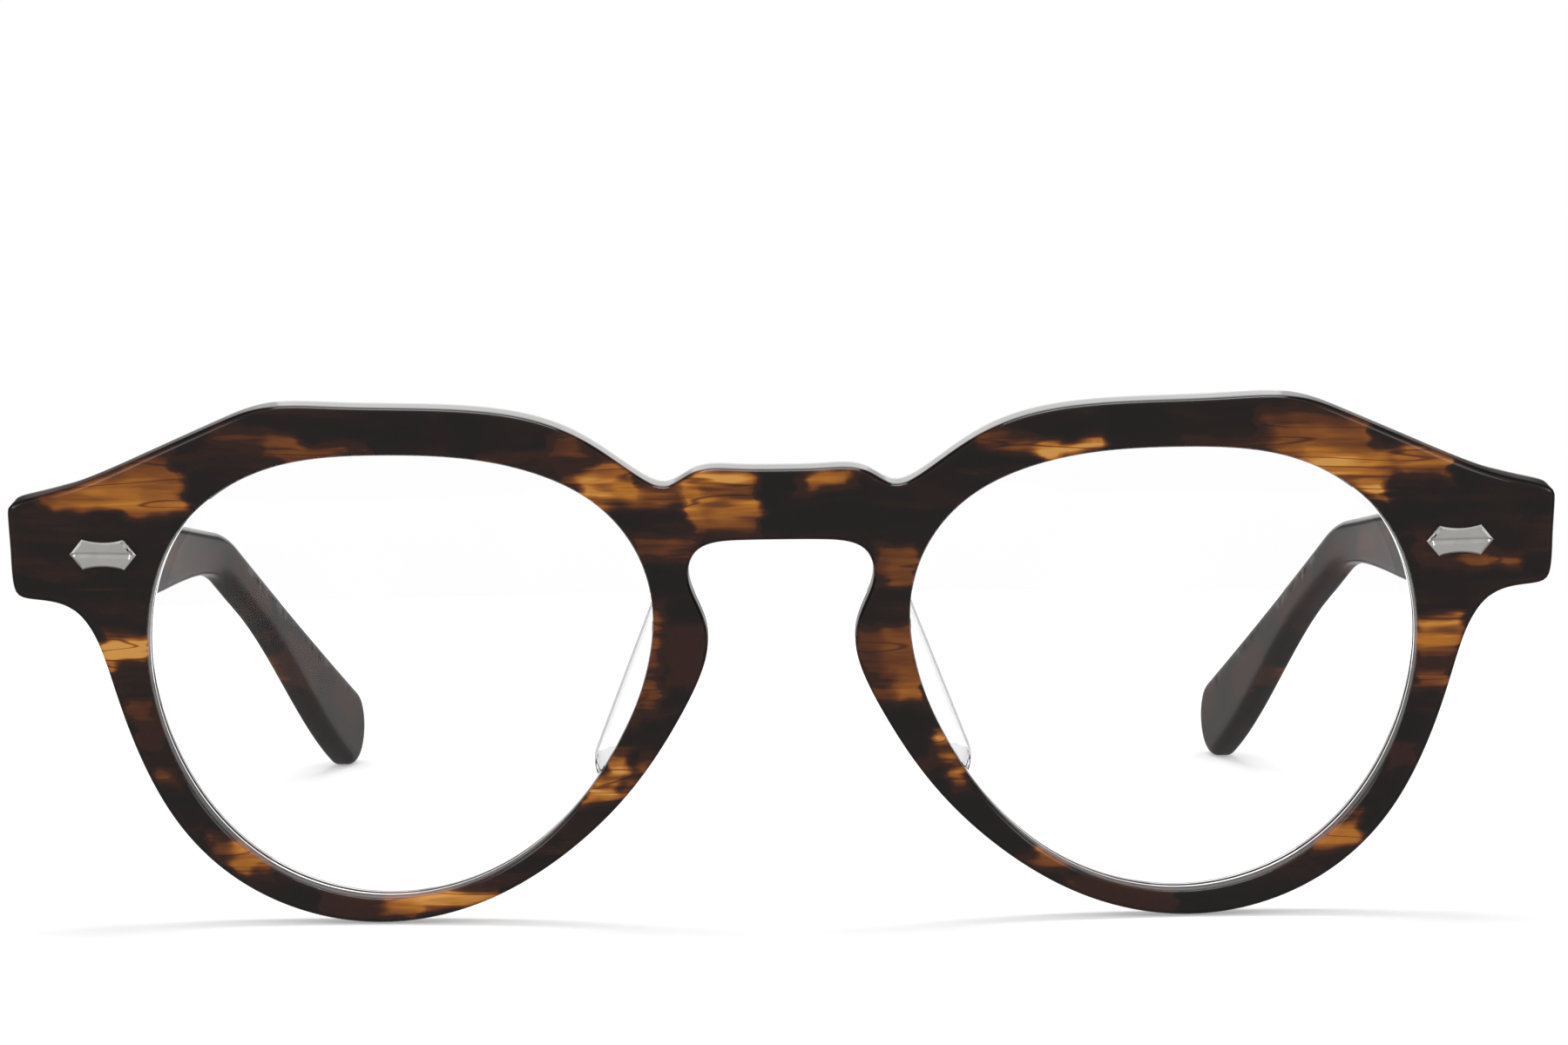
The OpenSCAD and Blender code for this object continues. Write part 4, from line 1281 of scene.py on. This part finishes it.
def brushed_group():
    """Fine brush lines and worn spots for the metal fittings."""
    t, start, end = group("brushed_metal", [("Where", "Vector", None),
                                            ("Base", "Color", (0.8, 0.8, 0.8, 1)),
                                            ("Roughness", "Float", 0.3)],
                          [("Color", "Color"), ("Roughness", "Float"), ("Height", "Float")])
    where, base, rough = start.outputs[:3]
    lines = noise(t, where, LINE_SIZE, detail=2)
    spots = noise(t, where, SPOT_SIZE, detail=3)
    shade = maths(t, "ADD", maths(t, "MULTIPLY", lines, LINE_SHADE),
                  maths(t, "MULTIPLY", spots, SPOT_SHADE))
    shade = maths(t, "ADD", shade, PLAIN_SHADE)
    t.links.new(scaled(t, base, shade), end.inputs["Color"])
    t.links.new(maths(t, "MULTIPLY", rough, maths(t, "ADD", spots, 0.5)), end.inputs["Roughness"])
    t.links.new(lines, end.inputs["Height"])
    return t


def metal_material(name, brushed, colour, rough):
    """Brushed metal of one colour."""
    m, t, skin = new_material(name)
    coords = t.nodes.new("ShaderNodeTexCoord")
    g = t.nodes.new("ShaderNodeGroup")
    g.node_tree = brushed
    g.inputs["Base"].default_value = (*colour, 1)
    g.inputs["Roughness"].default_value = rough
    bump = t.nodes.new("ShaderNodeBump")
    bump.inputs["Strength"].default_value = LINE_BUMP
    bump.inputs["Distance"].default_value = LINE_DEPTH
    t.links.new(coords.outputs["Object"], g.inputs["Where"])
    t.links.new(g.outputs["Color"], skin.inputs["Base Color"])
    t.links.new(g.outputs["Roughness"], skin.inputs["Roughness"])
    t.links.new(g.outputs["Height"], bump.inputs["Height"])
    t.links.new(bump.outputs[0], skin.inputs["Normal"])
    skin.inputs["Metallic"].default_value = 1
    return m


def keep_node(node, material):
    """Keeps a solid as it is, in a better material."""
    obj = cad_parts[node]
    obj.data.materials.clear()
    obj.data.materials.append(material)


# Studio. The floor's radius in metres and its grey under the lamps
FLOOR_R, FLOOR_GREY = 0.32, 0.85
# What the floor glows for the camera, near the glasses and away from them, in metres
GLOW_NEAR, GLOW_FAR, GLOW_OVER = 0.34, 1.0, (0.12, 0.3)


def make_floor():
    """White paper that keeps the shadow and runs out into a white background."""
    bm = bmesh.new()
    bmesh.ops.create_circle(bm, cap_ends=True, radius=FLOOR_R, segments=96)
    mesh = bpy.data.meshes.new("studio_floor")
    bm.to_mesh(mesh)
    bm.free()
    obj = bpy.data.objects.new("studio_floor", mesh)
    bpy.context.scene.collection.objects.link(obj)
    m, t, skin = new_material("floor_paper")
    skin.inputs["Base Color"].default_value = (FLOOR_GREY, FLOOR_GREY, FLOOR_GREY, 1)
    skin.inputs["Roughness"].default_value = 0.9
    skin.inputs["Specular IOR Level"].default_value = 0
    path = t.nodes.new("ShaderNodeLightPath")
    seen = maths(t, "MAXIMUM", path.outputs["Is Camera Ray"], path.outputs["Is Transmission Ray"])
    coords = t.nodes.new("ShaderNodeTexCoord")
    away = t.nodes.new("ShaderNodeVectorMath")
    away.operation = "LENGTH"
    t.links.new(coords.outputs["Object"], away.inputs[0])
    white = maths(t, "MULTIPLY", seen, map_range(t, away.outputs["Value"], *GLOW_OVER, GLOW_NEAR, GLOW_FAR))
    # A fixed strength of a half under twice the colour keeps the glow from being sampled as a lamp
    glow = t.nodes.new("ShaderNodeEmission")
    glow.inputs["Strength"].default_value = 0.5
    t.links.new(maths(t, "MULTIPLY", white, 2.0), glow.inputs["Color"])
    both = t.nodes.new("ShaderNodeAddShader")
    t.links.new(skin.outputs[0], both.inputs[0])
    t.links.new(glow.outputs[0], both.inputs[1])
    t.links.new(both.outputs[0], t.nodes["Material Output"].inputs["Surface"])
    obj.data.materials.append(m)
    # Mirrored rays pass the floor and meet the world, which is shaded for them
    obj.visible_glossy = False


# What mirrored rays meet, by their direction: a share that rises behind and above the glasses
BEHIND_OVER, BEHIND_LEAST = (0.3, 0.9), 0.45
# It is dark beside the glasses as by a black card, half lit below them, and lit towards the camera
BESIDE_OVER, BESIDE_DARK = (0.16, 0.26), 0.06
LOW_OVER, LOW_SHARE = (-0.02, 0.1), 0.5
TOWARD_OVER = (-0.3, 0.2)
# Plain light from all round
AMBIENT = 0.6


def make_world():
    """White to the camera and through glass, shaded for mirrored rays, and plain for the lighting."""
    world = bpy.data.worlds.new("white_studio")
    bpy.context.scene.world = world
    world.use_nodes = True
    t = world.node_tree
    back = t.nodes["Background"]
    back.inputs["Color"].default_value = (1, 1, 1, 1)
    coords = t.nodes.new("ShaderNodeTexCoord")
    parts = t.nodes.new("ShaderNodeSeparateXYZ")
    t.links.new(coords.outputs["Generated"], parts.inputs[0])
    x, y, z = parts.outputs[:3]
    path = t.nodes.new("ShaderNodeLightPath")
    mirrored_ray = path.outputs["Is Glossy Ray"]

    def times(a, b):
        return maths(t, "MULTIPLY", a, b)

    def rest(a):
        return maths(t, "SUBTRACT", 1.0, a)

    def most(a, b):
        return maths(t, "MAXIMUM", a, b)

    behind = map_range(t, maths(t, "ADD", y, z), *BEHIND_OVER, BEHIND_LEAST, 1.0)
    beside = map_range(t, maths(t, "ABSOLUTE", x), *BESIDE_OVER, 1.0, BESIDE_DARK)
    low = map_range(t, z, *LOW_OVER, 1.0, 0.0)
    beside = maths(t, "ADD", times(low, LOW_SHARE), times(rest(low), beside))
    toward = map_range(t, y, *TOWARD_OVER, 1.0, 0.0)
    seen = most(path.outputs["Is Camera Ray"], path.outputs["Is Transmission Ray"])
    shiny = times(mirrored_ray, times(behind, most(beside, toward)))
    plain = times(rest(most(seen, mirrored_ray)), AMBIENT)
    t.links.new(maths(t, "ADD", most(seen, shiny), plain), back.inputs["Strength"])


# Lamps: name, place and target in metres, size, and watts
LAMPS = [
    ("top_lamp", (0.0, 0.02, 0.75), (0, 0, 0.03), (0.5, 0.2), 2.0),
    ("back_lamp", (0.0, 1.3, 0.5), (0, 0, 0.03), (0.5, 0.5), 0.5),
    ("left_lamp", (-0.8, -0.5, 0.55), (0, 0, 0.02), (0.4, 0.4), 1.2),
    ("right_lamp", (0.8, -0.5, 0.55), (0, 0, 0.02), (0.4, 0.4), 1.2),
]


def soft_lamp(name, at, target, size, watts):
    """An area lamp that the camera doesn't see."""
    lamp = bpy.data.lights.new(name, "AREA")
    lamp.shape = "RECTANGLE"
    lamp.size, lamp.size_y = size
    lamp.energy = watts
    obj = bpy.data.objects.new(name, lamp)
    obj.visible_camera = False
    obj.location = at
    obj.rotation_euler = (Vector(target) - Vector(at)).to_track_quat("-Z", "Y").to_euler()
    bpy.context.scene.collection.objects.link(obj)


# The photograph's camera: place in metres, turns in degrees, lens in millimetres, and shift
CAMERA_AT = (-0.00006, -0.47265, 0.06516)
YAW, PITCH, ROLL = -0.44, 3.79, -0.65
CAMERA_LENS, SHIFT_X = 100, 0.024


def make_camera():
    cam = bpy.data.cameras.new("camera")
    cam.sensor_width = 36
    cam.lens = CAMERA_LENS
    cam.shift_x = SHIFT_X
    cam.clip_start = 0.01
    obj = bpy.data.objects.new("camera", cam)
    yaw, pitch, roll = (math.radians(turn) for turn in (YAW, PITCH, ROLL))
    look = (Matrix.Rotation(-yaw, 4, "Z") @ Matrix.Rotation(math.pi / 2 - pitch, 4, "X")
            @ Matrix.Rotation(roll, 4, "Z"))
    obj.matrix_world = Matrix.Translation(CAMERA_AT) @ look
    bpy.context.scene.collection.objects.link(obj)
    bpy.context.scene.camera = obj


def make_glasses():
    """Every piece of the glasses, in its own material."""
    streaks, brushed = tortoise_group(), brushed_group()
    front_acetate = acetate_material("tortoise_acetate_front", streaks,
                                     near=(0.0, 0.38), far=(0.0, 0.38))
    temple_acetate = acetate_material("tortoise_acetate_temple", streaks,
                                      near=(0.0, 0.6), far=(0.02, 0.05))
    lens_clear = clear_material("clear_lens", ior=1.25, tint=(0.99, 0.99, 0.99), rough=0.0, edge=0.8)
    pad_clear = clear_material("clear_pad", ior=1.12, tint=(0.86, 0.86, 0.875), rough=0.03, edge=0.4)
    satin = metal_material("satin_plaque", brushed, colour=(0.80, 0.785, 0.75), rough=0.3)
    steel = metal_material("hinge_steel", brushed, colour=(0.62, 0.62, 0.62), rough=0.4)
    pin_metal = metal_material("pin_steel", brushed, colour=(0.72, 0.72, 0.71), rough=0.38)
    screw_metal = metal_material("screw_steel", brushed, colour=(0.78, 0.78, 0.77), rough=0.38)
    wire = metal_material("core_wire", brushed, colour=(0.6, 0.6, 0.58), rough=0.35)
    make_front(front_acetate)
    make_temples(temple_acetate)
    make_lenses(lens_clear)
    make_pads(pad_clear)
    make_pins(pin_metal)
    for side, name in ((1, "left"), (-1, "right")):
        make_plaque(name + "_front_plate", on_front(PLAQUE_U, PLAQUE_V), satin, "front",
                    "plaque_metal", name + "_front_plaque", side < 0)
        lo, hi = box_of(name + "_temple_plaque")
        middle = (lo + hi) / 2
        face = hi[0] if side > 0 else lo[0]

        def on_temple(p):
            out = face - side * (p[:, 1] + PLAQUE_T - PLAQUE_SEAT)
            return np.column_stack([out, middle[1] + p[:, 0], middle[2] + p[:, 2]])

        make_plaque(name + "_temple_plate", on_temple, satin, name + "_side",
                    "plaque_metal", name + "_temple_plaque", False)
        for part, metal in (("hinge_front_leaf", steel), ("hinge_temple_leaf", steel),
                            ("hinge_screw", screw_metal), ("temple_core", wire)):
            keep_node(name + "_" + part, metal)


make_glasses()
make_floor()
make_world()
for lamp_values in LAMPS:
    soft_lamp(*lamp_values)
make_camera()
bpy.context.scene.view_settings.view_transform = "Standard"
